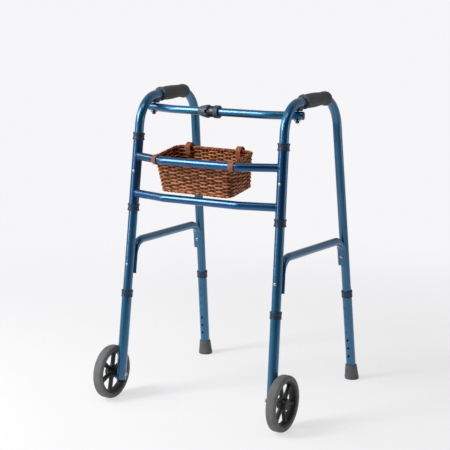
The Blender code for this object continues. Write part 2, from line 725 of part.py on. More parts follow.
def grip(side, carrier, handle):
    """A moulded grip that follows the handle, with the tube's own path as its bore."""
    points, radii = [], []
    path_start = side.front_top + side.back * GRIP_BACK
    for share, radius in GRIP_PROFILE:
        points.append(point_on(handle, path_start, share * GRIP_RUN))
        radii.append(radius)
    name = f"grip_{side.name}"
    obj = part(name, swept_mesh(name, points, radii, SIDES), "grip_vinyl", carrier)
    boolean(obj, cutter(f"handle_space_{side.name}", bar_mesh("handle_space", handle, LEG_R + CLEAR)))
    return obj


def point_on(path, start, distance):
    """The point of a path that lies a distance past the place nearest to start."""
    best, run, found = None, 0.0, 0.0
    for first, second in zip(path, path[1:]):
        step = second - first
        share = min(1.0, max(0.0, (start - first).dot(step) / step.length_squared))
        gap = (first + step * share - start).length
        if best is None or gap < best:
            best, found = gap, run + step.length * share
        run += step.length
    want, run = found + distance, 0.0
    for first, second in zip(path, path[1:]):
        length = (second - first).length
        if run + length >= want:
            return first.lerp(second, (want - run) / length)
        run += length
    return path[-1]


def pivot_point(side):
    at = side.front_top + side.back * PIVOT_RUN
    return Vector((at.x, at.y, TOP_BAR_Z))


def pivot_bracket(side, carrier, handle):
    """The saddle under the handle that the top bar's bolt hangs from."""
    at = pivot_point(side)
    low, high = BAR_R + PIVOT_ROOM, (BRACKET_TOP - TOP_BAR_Z) / side.front_axis.z
    name = f"pivot_bracket_{side.name}"
    block = box_mesh(name, (BRACKET_X, BRACKET_Y, high - low), (0, 0, (high + low) / 2))
    obj = part(name, block, "dark_plastic", carrier, along(side.front_axis, at))
    edge = obj.modifiers.new("edges", "BEVEL")
    edge.width = 0.002
    edge.segments = 1
    boolean(obj, cutter(f"saddle_{side.name}", bar_mesh("saddle", handle, LEG_R + CLEAR)))
    boolean(obj, drill(f"bolt_hole_{side.name}", BOLT_R + CLEAR, at, side.front_axis, 0, BOLT_UP + CLEAR))
    return obj


def pivot_bolt(side, carrier):
    pose = along(side.front_axis, pivot_point(side))
    top = -BAR_R - PIVOT_ROOM
    name = f"pivot_bolt_{side.name}"
    mesh = rod_mesh(name, BOLT_R, top - NUT_FLANGE_T - NUT_T - 0.001, BOLT_UP, 12)
    part(name, mesh, "dark_steel", carrier, pose)
    step, bottom, bore = top - NUT_FLANGE_T, top - NUT_FLANGE_T - NUT_T, BOLT_R + CLEAR
    profile = [(bore, top), (NUT_FLANGE_R, top), (NUT_FLANGE_R, step), (NUT_R, step), (NUT_R, bottom), (bore, bottom)]
    name = f"pivot_nut_{side.name}"
    part(name, ring_mesh(name, profile, 12), "dark_steel", carrier, pose)


def half_bar(side, inner_x, carrier):
    """One half of the top bar, from past its bolt to its fitting in the clasp."""
    at = pivot_point(side)
    kink = Vector((side.sign * TOP_BAR_KINK_X, CORNER_Y + TOP_BAR_BACK, TOP_BAR_Z))
    way = (at - kink).normalized()
    outer = at + way * TOP_BAR_OVERRUN
    inner = Vector((inner_x, kink.y, TOP_BAR_Z))
    points = rounded_path([outer, kink, inner], [TOP_BAR_BEND])
    name = f"top_bar_{side.name}"
    obj = tube(name, points, BAR_R, BAR_WALL, "blue_metal", carrier, BAR_SIDES)
    boolean(obj, drill(f"{name}_bolt_hole", BOLT_R + CLEAR, at, side.front_axis, -BAR_R * 1.4, BAR_R * 1.4))
    spigot = BAR_R * math.cos(math.pi / BAR_SIDES) - BAR_WALL - CLEAR
    soft = 0.0012
    low = CLEAR
    profile = [(0, low + CAP_T), (BAR_R - soft, low + CAP_T), (BAR_R, low + CAP_T - soft), (BAR_R, low),
               (spigot, low), (spigot, low - CAP_SPIGOT), (0, low - CAP_SPIGOT)]
    cap = f"top_bar_cap_{side.name}"
    part(cap, ring_mesh(cap, profile, BAR_SIDES, closed=False), "black_plastic", carrier, along(way, outer))


def clasp_frame():
    """Local Z runs along +X, on the top bar's straight middle."""
    return along(Vector((1, 0, 0)), Vector((0, CORNER_Y + TOP_BAR_BACK, TOP_BAR_Z)), UP)


def fork_tilt():
    """The two halves part square to the leaning hinge lines, so tongue and slot lean alike."""
    middle = Matrix.Translation((0, CORNER_Y + TOP_BAR_BACK, TOP_BAR_Z))
    return middle @ Matrix.Rotation(-math.radians(FRONT_LEAN), 4, "X")


def clasp_cone(carrier):
    thin, full, face = CONE_X
    bore, socket = BAR_R + CLEAR, thin + CONE_SOCKET
    profile = [(0, face), (CONE_R[2] - CONE_EDGE, face), (CONE_R[2], face - CONE_EDGE), (CONE_R[1], full),
               (CONE_R[0], thin + 0.002), (CONE_R[0] - 0.0005, thin), (bore, thin), (bore, socket), (0, socket)]
    name = "clasp_cone"
    obj = part(name, ring_mesh(name, profile, SIDES, closed=False), "dark_plastic", carrier, clasp_frame())
    depth = TONGUE_IN + JOINT_GAP + TONGUE_ROOM
    slot = box_mesh("fork_slot", (depth * 2, CONE_R[2] * 3, FORK_SLOT), (face, 0, 0))
    boolean(obj, cutter("fork_slot", slot, fork_tilt()))
    return socket


def barrel_start():
    return CONE_X[2] + JOINT_GAP


def clasp_barrel(carrier):
    start, bore = barrel_start(), BAR_R + CLEAR
    end = start + BARREL_LONG
    profile = [(bore, end), (BARREL_R - 0.0008, end), (BARREL_R, end - 0.0008), (BARREL_R, start + BARREL_EDGE),
               (BARREL_R - BARREL_EDGE, start), (0, start), (0, start + BARREL_WEB), (bore, start + BARREL_WEB)]
    name = "clasp_barrel"
    closed_profile = profile[6:] + profile[:6]
    obj = part(name, ring_mesh(name, closed_profile, SIDES, closed=False), "barrel_aluminium", carrier, clasp_frame())
    tip = CONE_X[2] - TONGUE_IN
    root = start + BARREL_WEB / 2
    blade = box_mesh("tongue", (root - tip, TONGUE_W, TONGUE_T), ((root + tip) / 2, 0, 0))
    boolean(obj, cutter("tongue", blade, fork_tilt()), "UNION")
    return start + BARREL_WEB + CLEAR


def release_collar(carrier):
    """The spring-loaded ring that is pulled back to free the tongue."""
    end_of_barrel = barrel_start() + BARREL_LONG
    low = end_of_barrel - RELEASE_LAP
    high = low + COLLAR_LONG
    inner, neck, soft = BARREL_R + 0.0004, BAR_R + 0.0004, 0.0015
    profile = [(neck, high), (RELEASE_R - soft, high), (RELEASE_R, high - soft), (RELEASE_R, low + soft),
               (RELEASE_R - soft, low), (inner, low), (inner, high - LIP), (neck, high - LIP)]
    name = "clasp_release_collar"
    return part(name, ring_mesh(name, profile), "black_plastic", carrier, clasp_frame())


def wall_ring(width, depth, radius, share):
    """The point and outward direction at a share of the way round a rounded rectangle."""
    run_x, run_y, arc = width - 2 * radius, depth - 2 * radius, radius * math.pi / 2
    run = share % 1.0 * 2 * (run_x + run_y + 2 * arc)
    for quarter, straight in enumerate((run_x, run_y, run_x, run_y)):
        out = Matrix.Rotation(math.pi / 2 * (quarter - 1), 3, "Z") @ Vector((1, 0, 0))
        onward = Vector((-out.y, out.x, 0))
        away = (run_y, run_x)[quarter % 2] / 2 + radius
        if run <= straight:
            return out * away + onward * (run - straight / 2), out
        run -= straight
        if run <= arc:
            turned = Matrix.Rotation(run / radius, 3, "Z") @ out
            return out * (away - radius) + onward * straight / 2 + turned * radius, turned
        run -= arc
    return wall_ring(width, depth, radius, 0)


def bar_at(points, x):
    """The point of a crossbar's axis at x, and the bar's direction there."""
    for first, second in zip(points, points[1:]):
        if first.x <= x <= second.x:
            return first.lerp(second, (x - first.x) / (second.x - first.x)), (second - first).normalized()
    raise ValueError("x lies outside the bar")


def basket_frame(bar):
    """Local origin at the top of the wall's front in its middle, local Y toward the basket's back."""
    turn = Matrix.Rotation(math.radians(BASKET_YAW), 4, "Z") @ Matrix.Rotation(math.radians(BASKET_TILT), 4, "X")
    front = -math.inf
    for share, _ in weave_columns():
        rim = turn @ wall_point(share, -BASKET_ROLL_R, BASKET_ROLL_R)
        at, way = bar_at(bar, BASKET_X + rim.x)
        front = max(front, at.y + BAR_R / way.x - rim.y)
    return Matrix.Translation((BASKET_X, front + BASKET_CLEAR, BASKET_RIM_Z)) @ turn


def wall_point(share, z, offset):
    """A point of the basket's wall, offset outward from the wall's middle."""
    up = (z + BASKET_TALL) / BASKET_TALL
    width = BASKET_BASE[0] + (BASKET_RIM[0] - BASKET_BASE[0]) * up - BASKET_WALL
    depth = BASKET_BASE[1] + (BASKET_RIM[1] - BASKET_BASE[1]) * up - BASKET_WALL
    point, out = wall_ring(width, depth, BASKET_CORNER - BASKET_WALL / 2, share)
    return point + out * offset + Vector((0, BASKET_RIM[1] / 2, z))


def weave_columns():
    """Shares of the way round: every stake, and halfway between two stakes where the wall curves."""
    columns = []
    for index in range(2 * BASKET_STAKES):
        share = index / (2 * BASKET_STAKES)
        out = wall_ring(*BASKET_RIM, BASKET_CORNER, share)[1]
        if index % 2 or max(abs(out.x), abs(out.y)) < 0.999:
            columns.append((share, 0 if index % 2 == 0 else index % 4 - 2))
    return columns


def weave_levels():
    """Height of every course of rods, from the base border to the rolled rim."""
    low, high = BASKET_FLOOR - BASKET_TALL, -2 * BASKET_ROLL_R
    pitch = (high - low) / BASKET_COURSES
    return [low + pitch * (course + 0.5) for course in range(BASKET_COURSES)]


def weave_diagonals(shape):
    """Part every four-sided face along its outer diagonal, so that rods stand out and the gaps stay small."""
    for face in [face for face in shape.faces if len(face.verts) == 4]:
        a, b, c, d = face.verts
        middle_ac, middle_bd = (a.co + c.co) / 2, (b.co + d.co) / 2
        ends = (a, c) if (middle_ac - middle_bd).dot(face.normal) > 0 else (b, d)
        bmesh.utils.face_split(face, *ends)


def basket(pose):
    """The woven basket as one solid: courses that pass before and behind the stakes, and a rolled rim."""
    columns, half = weave_columns(), BASKET_WALL / 2

    def course(index, z, face):
        swing = [face * (half - BASKET_WAVE / 2) + way * (-1) ** index * BASKET_WAVE / 2 for _, way in columns]
        return [wall_point(share, z, offset) for (share, _), offset in zip(columns, swing)]

    def plain(z, offset):
        return [wall_point(share, z, offset) for share, _ in columns]

    outside = [course(index, z, 1) for index, z in enumerate(weave_levels())]
    inside = [course(index, z, -1) for index, z in enumerate(weave_levels())]
    rim = []
    for degrees in (-50, 0, 50, 90, 130, 180, 230):
        angle = math.radians(degrees)
        rim.append(plain((math.sin(angle) - 1) * BASKET_ROLL_R, math.cos(angle) * BASKET_ROLL_R))
    rings = [plain(-BASKET_TALL, half), *outside, *rim, *inside[::-1], plain(BASKET_FLOOR - BASKET_TALL, -half)]
    shape = bmesh.new()
    rings = [[shape.verts.new(point) for point in ring] for ring in rings]
    for first, second in zip(rings, rings[1:]):
        loop_faces(shape, first, second)
    shape.faces.new(rings[0][::-1])
    shape.faces.new(rings[-1])
    bmesh.ops.recalc_face_normals(shape, faces=shape.faces)
    weave_diagonals(shape)
    mesh = bpy.data.meshes.new("basket")
    shape.to_mesh(mesh)
    shape.free()
    return part("basket", mesh, "wicker", ROOT, pose)


def strap_stations(near, far, steps=9):
    """Taut outline round two rods, each given as (its frame, its radius): (rod frame, outward direction, radius)."""
    (near_pose, near_r), (far_pose, far_r) = near, far
    step = near_pose.inverted() @ far_pose.translation
    way = math.atan2(step.z, math.hypot(step.x, step.y))
    opening = math.acos((near_r - far_r) / step.length)
    stations = []
    for pose, radius, start, end in ((near_pose, near_r, way + opening, way + 2 * math.pi - opening),
                                     (far_pose, far_r, way - opening, way + opening)):
        for index in range(steps + 1):
            angle = start + (end - start) * index / steps
            stations.append((pose, Vector((0, math.cos(angle), math.sin(angle))), radius))
    return stations


def strap_mesh(name, near, far, inner, outer, width):
    """A flat band drawn round two rods, which may lie at an angle to each other."""
    shape = bmesh.new()
    rings = []
    for pose, out, radius in strap_stations(near, far):
        corners = ((-width / 2, inner), (width / 2, inner), (width / 2, outer), (-width / 2, outer))
        rings.append([shape.verts.new(pose @ (out * (radius + lift) + Vector((across, 0, 0))))
                      for across, lift in corners])
    for first, second in zip(rings, rings[1:] + rings[:1]):
        loop_faces(shape, first, second)
    bmesh.ops.recalc_face_normals(shape, faces=shape.faces)
    mesh = bpy.data.meshes.new(name)
    shape.to_mesh(mesh)
    shape.free()
    return mesh


def strap(name, near, far, basket_object):
    """A leather loop and the matching way through the basket's wall."""
    part(name, strap_mesh(name, near, far, 0, STRAP_T, STRAP_W), "leather", ROOT)
    space = strap_mesh(f"{name}_space", near, far, -CLEAR, STRAP_T + CLEAR, STRAP_W + 2 * CLEAR)
    boolean(basket_object, cutter(f"{name}_space", space))


def rod_frame(at, direction, up):
    """A frame on a rod: local X along it, local Y toward the basket and local Z up."""
    x = direction.normalized()
    y = up.cross(x).normalized()
    return Matrix.Translation(at) @ Matrix((x, y, x.cross(y))).transposed().to_4x4()


def front_straps(basket_object, bar, pose):
    """Each runs from the crossbar to the rim's corner, and turns with it."""
    for sign, x, degrees in FRONT_STRAPS:
        at, way = bar_at(bar, x)
        near = rod_frame(at, way, UP), BAR_R + CLEAR
        angle, radius = math.radians(degrees), BASKET_CORNER - BASKET_WALL / 2
        out = Vector((sign * math.sin(angle), -math.cos(angle), 0))
        corner = Vector((sign * (BASKET_RIM[0] / 2 - BASKET_CORNER), BASKET_CORNER, -BASKET_ROLL_R))
        tangent = pose.to_3x3() @ Vector((-out.y, out.x, 0))
        far = rod_frame(pose @ (corner + out * radius), tangent, pose.to_3x3() @ UP), BASKET_ROLL_R + CLEAR
        strap(f"front_strap_{SIDE_NAME[sign]}", near, far, basket_object)


def rear_straps(basket_object, pose):
    wall = BASKET_RIM[1] - BASKET_WALL / 2
    low, high = REAR_STRAP_TURN - REAR_STRAP_DOWN, REAR_STRAP_UP - REAR_STRAP_TURN
    for side_name, x in zip(("left", "right"), REAR_STRAP_X):
        near, far = (pose @ rod_frame(Vector((x - BASKET_X, wall, z)), Vector((1, 0, 0)), UP) for z in (low, high))
        strap(f"rear_loop_{side_name}", (near, REAR_STRAP_TURN), (far, REAR_STRAP_TURN), basket_object)


def lower_leg(side, end, parent):
    name = f"{end}_leg_slide_{side.name}"
    carrier = pivot(name, side.leg(end, set_height(end)), parent)
    extension_tube = extension(side, end, carrier)
    leg_collar(side, end, carrier)
    press = pivot(f"{end}_button_press_{side.name}", side.leg(end, set_height(end)), parent)
    snap_button(side, end, press)
    if end == "rear":
        ferrule(side, carrier)
        return
    at, way = axle_line(side)
    boolean(extension_tube, drill(f"axle_hole_{side.name}", AXLE_R + CLEAR, at, way, -EXT_R * 1.4, EXT_R * 1.4))
    axle(side, carrier)
    hub_cap(side, carrier)
    spin = pivot(f"wheel_spin_{side.name}", at + way * WHEEL_OUT, carrier)
    wheel_hub(side, spin)
    tyre(side, spin)


def side_frame(side):
    swing = side.hinge(f"side_fold_{side.name}")
    leg, path = side_tube(side, swing)
    brace(side, swing)
    brace_rivets(side, swing, leg)
    grip(side, swing, path)
    pivot_bracket(side, swing, path)
    pivot_bolt(side, swing)
    for end in ("front", "rear"):
        lower_leg(side, end, swing)
    return swing


def top_bar(sides, swings):
    left = pivot("top_bar_pivot_left", pivot_point(sides[-1]), swings[-1])
    right = pivot("top_bar_pivot_right", pivot_point(sides[1]), swings[1])
    socket = clasp_cone(left)
    half_bar(sides[-1], socket - CLEAR, left)
    tube_start = clasp_barrel(right)
    half_bar(sides[1], tube_start, right)
    release_collar(pivot("clasp_release", clasp_frame().translation, right))


def build():
    sides = {sign: Side(sign) for sign in (-1, 1)}
    for side in sides.values():
        sleeve(side)
    upper = crossbar("upper", UPPER_BAR_Z, UPPER_BOW, sides)
    crossbar("lower", LOWER_BAR_Z, LOWER_BOW, sides)
    swings = {sign: side_frame(side) for sign, side in sides.items()}
    top_bar(sides, swings)
    pose = basket_frame(upper)
    tray = basket(pose)
    front_straps(tray, upper, pose)
    rear_straps(tray, pose)


build()
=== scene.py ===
import json
import math
import random

import bmesh
import bpy
from mathutils import Matrix, Vector


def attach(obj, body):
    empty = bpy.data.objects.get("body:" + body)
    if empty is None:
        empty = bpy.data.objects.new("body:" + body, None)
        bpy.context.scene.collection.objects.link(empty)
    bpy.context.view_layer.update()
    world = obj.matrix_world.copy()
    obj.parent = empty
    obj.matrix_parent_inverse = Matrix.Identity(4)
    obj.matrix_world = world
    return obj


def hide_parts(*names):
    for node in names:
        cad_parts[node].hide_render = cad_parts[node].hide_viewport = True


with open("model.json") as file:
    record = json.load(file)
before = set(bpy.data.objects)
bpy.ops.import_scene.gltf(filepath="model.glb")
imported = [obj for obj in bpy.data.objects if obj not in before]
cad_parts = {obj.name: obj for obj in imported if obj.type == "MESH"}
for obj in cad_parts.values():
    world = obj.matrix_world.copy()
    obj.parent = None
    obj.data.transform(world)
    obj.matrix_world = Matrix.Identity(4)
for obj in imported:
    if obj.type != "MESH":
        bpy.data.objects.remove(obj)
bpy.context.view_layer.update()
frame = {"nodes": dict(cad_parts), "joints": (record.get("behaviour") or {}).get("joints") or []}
print("frame loaded")

nodes = frame["nodes"]
joints = {joint["name"]: joint for joint in frame["joints"]}
sideNames = {-1: "left", 1: "right"}
legEnds = ("front", "rear")
sideAxis, upAxis = Vector((1, 0, 0)), Vector((0, 0, 1))
looseGap, snugGap = 0.0003, 0.0002   # metres between pieces that meet, and where one is pressed on the other

# Lines that the tubes follow, in metres. The hinge lines in the frame give the front legs.
tubes = {
    "handleZ": 0.850, "handleRun": 0.2916, "toeOut": 0.0070, "frontBend": 0.085, "rearBend": 0.095,
    "legRadius": 0.0127, "legWall": 0.0012, "sleeveRadius": 0.0140, "sleeveWall": 0.0010,
    "barRadius": 0.0111, "barWall": 0.0012, "frontEnd": 0.182, "rearEnd": 0.133,   # heights of the inner tubes' ends
    "sides": 56, "bendStep": 4.0,   # facets round a tube, and degrees of bend in one facet
}


def lineAt(top, axis, z):
    return top + axis * ((z - top.z) / axis.z)


def squareTo(axis, vector):
    # The part of a vector that is square to an axis of length 1.
    return vector - axis * vector.dot(axis)


def turnSteps(count, shift=0.0):
    return [2 * math.pi * (index + shift) / count for index in range(count)]


def tangentAt(points, index, closed):
    before = points[index - 1] if index or closed else points[0]
    after = points[(index + 1) % len(points)] if index < len(points) - 1 or closed else points[-1]
    return (after - before).normalized()


def runsAlong(points):
    # Distance from the start of a path to each of its points.
    runs = [0.0]
    for first, second in zip(points, points[1:]):
        runs.append(runs[-1] + (second - first).length)
    return runs


class SideLines:
    # Corner points and directions of one side frame.

    def __init__(self, sign):
        self.sign, self.name = sign, sideNames[sign]
        self.body = f"side_{self.name}"
        fold = joints[f"side_fold_{self.name}"]
        axis = Vector(fold["axis"])
        self.frontAxis = axis if axis.z > 0 else -axis
        self.rearAxis = -Vector(joints[f"rear_leg_slide_{self.name}"]["axis"])
        self.frontTop = lineAt(Vector(fold["pos_m"]), self.frontAxis, tubes["handleZ"])
        self.rearTop = self.frontTop + Vector((sign * tubes["toeOut"], tubes["handleRun"], 0))
        self.back = (self.rearTop - self.frontTop).normalized()
        self.out = self.back.cross(self.frontAxis).normalized() * sign

    def axis(self, end):
        return self.frontAxis if end == "front" else self.rearAxis

    def leg(self, end, z):
        return lineAt(self.frontTop if end == "front" else self.rearTop, self.axis(end), z)

    def rearward(self, end):   # square to a leg, the way that its holes face
        return squareTo(self.axis(end), self.back).normalized()

    def inward(self, end):   # square to a leg, toward the other one
        return self.rearward(end) if end == "front" else -self.rearward(end)


def along(direction, at, across=None):
    z = direction.normalized()
    x = squareTo(z, across or (upAxis if abs(z.x) > 0.9 else sideAxis)).normalized()
    return Matrix.Translation(at) @ Matrix((x, z.cross(x), z)).transposed().to_4x4()


def roundedPath(corners, radii, stepDegrees=None):
    step = stepDegrees or tubes["bendStep"]
    points = [corners[0]]
    for before, corner, after, radius in zip(corners, corners[1:-1], corners[2:], radii):
        come, leave = (corner - before).normalized(), (after - corner).normalized()
        turn = come.angle(leave)
        start = corner - come * radius * math.tan(turn / 2)
        inward = squareTo(come, leave).normalized()
        count = max(2, round(math.degrees(turn) / step))
        for index in range(count + 1):
            angle = turn * index / count
            points.append(start + come * radius * math.sin(angle) + inward * radius * (1 - math.cos(angle)))
    points.append(corners[-1])
    return points


def pathFrames(points, closed=False):
    # Point, tangent, normal and binormal along a path, without twist.
    found, normal = [], None
    for index, point in enumerate(points):
        tangent = tangentAt(points, index, closed)
        if normal is None:
            normal = upAxis if abs(tangent.z) < 0.9 else sideAxis
        normal = squareTo(tangent, normal).normalized()
        found.append((point, tangent, normal, tangent.cross(normal)))
    return found


def ringsInto(bm, rings, slot=0, loop=False, capped=False):
    made = [[bm.verts.new(point) for point in ring] for ring in rings]
    for first, second in zip(made, made[1:] + (made[:1] if loop else [])):
        for index in range(len(first)):
            after = (index + 1) % len(first)
            bm.faces.new((first[index], first[after], second[after], second[index])).material_index = slot
    for ends in (made[0][::-1], made[-1]) if capped else ():
        bm.faces.new(ends).material_index = slot
    return made


def circleRing(frameAt, radiusA, radiusB=None, sides=None):
    point, _, normal, binormal = frameAt
    second = radiusA if radiusB is None else radiusB
    return [point + normal * radiusA * math.cos(angle) + binormal * second * math.sin(angle)
            for angle in turnSteps(sides or tubes["sides"])]


def tubeInto(bm, points, radius, wall):
    # A hollow tube along points. Its cut ends are broken by a tiny chamfer.
    around = pathFrames(points)
    lip = radius - min(0.0003, wall / 3)
    outer = [circleRing(at, radius) for at in around]
    inner = [circleRing(at, radius - wall) for at in reversed(around)]
    ringsInto(bm, [circleRing(around[0], lip)] + outer + [circleRing(around[-1], lip)] + inner, loop=True)


def latheInto(bm, profile, pose, sides=64, closed=False, soft=0.0):
    # Turns (radius, height) points round Z, their corners rounded by soft. Points on the axis become poles.
    if soft:
        profile = softProfile(profile, soft, closed)
    rows = []
    for radius, height in profile:
        angles = turnSteps(1 if radius < 1e-7 else sides)
        rows.append([bm.verts.new(pose @ Vector((radius * math.cos(angle), radius * math.sin(angle), height)))
                     for angle in angles])
    for first, second in zip(rows, rows[1:] + (rows[:1] if closed else [])):
        if len(first) + len(second) == 2:
            continue
        for index in range(sides):
            corners = (first[index % len(first)], second[index % len(second)],
                       second[(index + 1) % len(second)], first[(index + 1) % len(first)])
            bm.faces.new(list(dict.fromkeys(corners)))   # a pole counts once


def softProfile(profile, radius, closed=False, steps=3):
    # Rounds the corners of a profile with small arcs, so that edges catch the light.
    count = len(profile)
    soft = []
    for index, corner in enumerate(profile):
        if not closed and index in (0, count - 1):
            soft.append(corner)
            continue
        before, after = profile[index - 1], profile[(index + 1) % count]
        here = Vector(corner)
        come, leave = here - Vector(before), Vector(after) - here
        if come.length < 1e-7 or leave.length < 1e-7 or come.angle(leave) < 0.15:
            soft.append(corner)
            continue
        back = min(radius, come.length * 0.45, leave.length * 0.45)
        start, end = here - come.normalized() * back, here + leave.normalized() * back
        for step in range(steps + 1):
            share = step / steps
            point = start.lerp(here, share).lerp(here.lerp(end, share), share)
            soft.append((max(point.x, 0.0), point.y))
    return soft


def millimetres(points, radius=0.0, height=0.0):
    # Profile points written in millimetres from a place at that radius and height.
    return [(radius + across / 1000, height + up / 1000) for across, up in points]


def smoothMesh(mesh, sharpFrom):
    mesh.shade_smooth()
    mesh.set_sharp_from_angle(angle=math.radians(sharpFrom))


def addObject(name, data):
    made = bpy.data.objects.new(name, data)
    bpy.context.scene.collection.objects.link(made)
    return made


def addMesh(name, bm, *materials):
    mesh = bpy.data.meshes.new(name)
    bm.to_mesh(mesh)
    bm.free()
    for one in materials:
        mesh.materials.append(one)
    return addObject(name, mesh)


def finishPiece(name, bm, *materials, sharpFrom=38):
    # Edges of more than sharpFrom degrees stay sharp.
    bmesh.ops.recalc_face_normals(bm, faces=bm.faces)
    piece = addMesh(name, bm, *materials)
    smoothMesh(piece.data, sharpFrom)
    return piece


def cutAway(piece, shape):
    # Takes the shape out of the piece.
    cutter = finishPiece("cutter", shape, piece.data.materials[0])
    step = piece.modifiers.new("cut", "BOOLEAN")
    step.operation, step.solver, step.object = "DIFFERENCE", "EXACT", cutter
    bpy.context.view_layer.update()
    made = bpy.data.meshes.new_from_object(piece.evaluated_get(bpy.context.evaluated_depsgraph_get()))
    made.name = piece.data.name
    piece.modifiers.clear()
    piece.data = made
    bpy.data.objects.remove(cutter, do_unlink=True)
    smoothMesh(made, 38)
    return piece


def settle(piece, body, *replaced, slot=None):
    # The piece rides on its body and hides the CAD nodes that it stands for. Its slot, the one given or that of its
    # first finish, is looked up but not kept.
    if replaced:
        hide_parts(*replaced)
    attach(piece, body)
    slot or finishes[piece.data.materials[0].name]["slot"]


def turnPiece(name, profile, pose, finish, body, *replaced, sharpFrom=38, **turning):
    # A piece turned from one profile.
    bm = bmesh.new()
    latheInto(bm, profile, pose, **turning)
    settle(finishPiece(name, bm, finish, sharpFrom=sharpFrom), body, *replaced)


def fromHex(text):
    # sRGB hex to the linear colour that the shader takes.
    values = [int(text[start:start + 2], 16) / 255 for start in (1, 3, 5)]
    return tuple(v / 12.92 if v <= 0.04045 else ((v + 0.055) / 1.055) ** 2.4 for v in values) + (1.0,)


def addNode(tree, kind, inputs=None, out=0, **settings):
    # Adds a node and returns one of its outputs. An input is a value, or the socket that it is linked from.
    node = tree.nodes.new(kind)
    for key, value in settings.items():
        setattr(node, key, value)
    for key, value in (inputs or {}).items():
        if isinstance(value, bpy.types.NodeSocket):
            tree.links.new(value, node.inputs[key])
        elif value is not None:
            node.inputs[key].default_value = value
    return node.outputs[out] if len(node.outputs) else None


def newMaterial(name, constants):
    made = bpy.data.materials.new(name)
    made.use_nodes = True
    shader = made.node_tree.nodes["Principled BSDF"]
    for key, value in constants.items():
        shader.inputs[key].default_value = value
    return made, made.node_tree, shader


def linkShader(tree, shader, colour, roughness, normal):
    for key, socket in (("Base Color", colour), ("Roughness", roughness), ("Normal", normal)):
        tree.links.new(socket, shader.inputs[key])


def perMetre(millimetreSize):
    # Texture scale whose pattern repeats about every so many millimetres.
    return 1000.0 / millimetreSize


finishes = {   # two colours that each finish varies between, its roughness from smooth to rough, and its slot
    "blueLacquer": {"slot": "blue_metal", "colours": ("#125e87", "#176791"), "roughness": (0.36, 0.38),
                    "metallic": 0.8, "coat": 1.0},
    "deepBlueLacquer": {"slot": "deep_blue_metal", "colours": ("#034b7a", "#055384"), "roughness": (0.32, 0.34),
                        "metallic": 0.88, "coat": 0.9},
    "mouldedNylon": {"slot": "dark_plastic", "colours": ("#122c46", "#183450"), "roughness": (0.32, 0.42)},
    "satinNylon": {"slot": "black_plastic", "colours": ("#3e4c58", "#485663"), "roughness": (0.30, 0.38)},
    "gripVinyl": {"slot": "grip_vinyl", "colours": ("#4e4f50", "#555657"), "roughness": (0.72, 0.86)},
    "blackNylon": {"slot": "black_plastic", "colours": ("#060607", "#0a0a0b"), "roughness": (0.50, 0.62)},
    "tyreRubber": {"slot": "grey_rubber", "colours": ("#626464", "#6e7070"), "roughness": (0.68, 0.82)},
    "ferruleRubber": {"slot": "grey_rubber", "colours": ("#565a5b", "#606465"), "roughness": (0.66, 0.80)},
    "zincPlate": {"slot": "zinc_steel", "colours": ("#a4a7aa", "#b3b6b8"), "roughness": (0.34, 0.46), "metallic": 1.0},
    "blackenedSteel": {"slot": "dark_steel", "colours": ("#34373b", "#404347"), "roughness": (0.34, 0.46),
                       "metallic": 0.8},
    "anodisedAluminium": {"slot": "barrel_aluminium", "colours": ("#3d4247", "#484e53"), "roughness": (0.34, 0.44),
                          "metallic": 1.0},
    "strapLeather": {"slot": "leather", "colours": ("#8c4829", "#a25734"), "roughness": (0.55, 0.70)},
    "burnishedEdge": {"colours": ("#351a0f", "#452415"), "roughness": (0.38, 0.50)},
    "linenThread": {"colours": ("#a98660", "#bd9b72"), "roughness": (0.60, 0.75)},
}


def makeSurface(name, patchSize, smearSize, bumps, constants=None):
    # Blends a finish's two colours, varies its roughness and adds bumps, all in object space. The sizes of patches,
    # smears and bumps are in millimetres, and a bump's depth is in metres.
    look = finishes[name]
    made, tree, shader = newMaterial(name, {"Metallic": look.get("metallic", 0.0), **(constants or {})})
    place = addNode(tree, "ShaderNodeTexCoord", out="Object")
    patches = addNode(tree, "ShaderNodeTexNoise", {"Vector": place, "Scale": perMetre(patchSize), "Detail": 3.0})
    share = addNode(tree, "ShaderNodeMapRange", {"Value": patches, "From Min": 0.35, "From Max": 0.65})
    first, second = look["colours"]
    tint = addNode(tree, "ShaderNodeMix", {0: share, 6: fromHex(first), 7: fromHex(second)}, 2, data_type="RGBA")
    smears = addNode(tree, "ShaderNodeTexNoise", {"Vector": place, "Scale": perMetre(smearSize), "Detail": 4.0})
    smooth, coarse = look["roughness"]
    rough = addNode(tree, "ShaderNodeMapRange", {"Value": smears, "From Min": 0.3, "From Max": 0.7,
                                                 "To Min": smooth, "To Max": coarse})
    normal = None
    for size, depth in bumps:
        grain = addNode(tree, "ShaderNodeTexNoise", {"Vector": place, "Scale": perMetre(size), "Detail": 2.0})
        normal = addNode(tree, "ShaderNodeBump", {"Height": grain, "Normal": normal, "Strength": 1.0,
                                                  "Distance": depth})
    linkShader(tree, shader, tint, rough, normal)
    return made


def makeLacquer(name):
    # Clear lacquer over tinted metal: a coloured sheen from the metal, a white one from the coat. Its orange peel is
    # faint and coarser than real, at 14 mm, because finer marks would only sparkle at this size.
    return makeSurface(name, patchSize=60, smearSize=45, bumps=((14.0, 0.000002),),
                       constants={"Coat Weight": finishes[name]["coat"], "Coat Roughness": 0.12})


def makeMoulded(name, grainSize, grainDepth, patchSize=25):
    # Injection moulded plastic or rubber: an even colour with the fine spark texture of the mould.
    return makeSurface(name, patchSize, smearSize=6, bumps=((grainSize, grainDepth), (grainSize * 6, grainDepth * 2)))


def makeMetal(name, grainSize):
    # Plated, blackened or anodised metal: a soft even gloss over the fine marks of tumbling or turning.
    return makeSurface(name, patchSize=8, smearSize=2, bumps=((grainSize, 0.00001),))


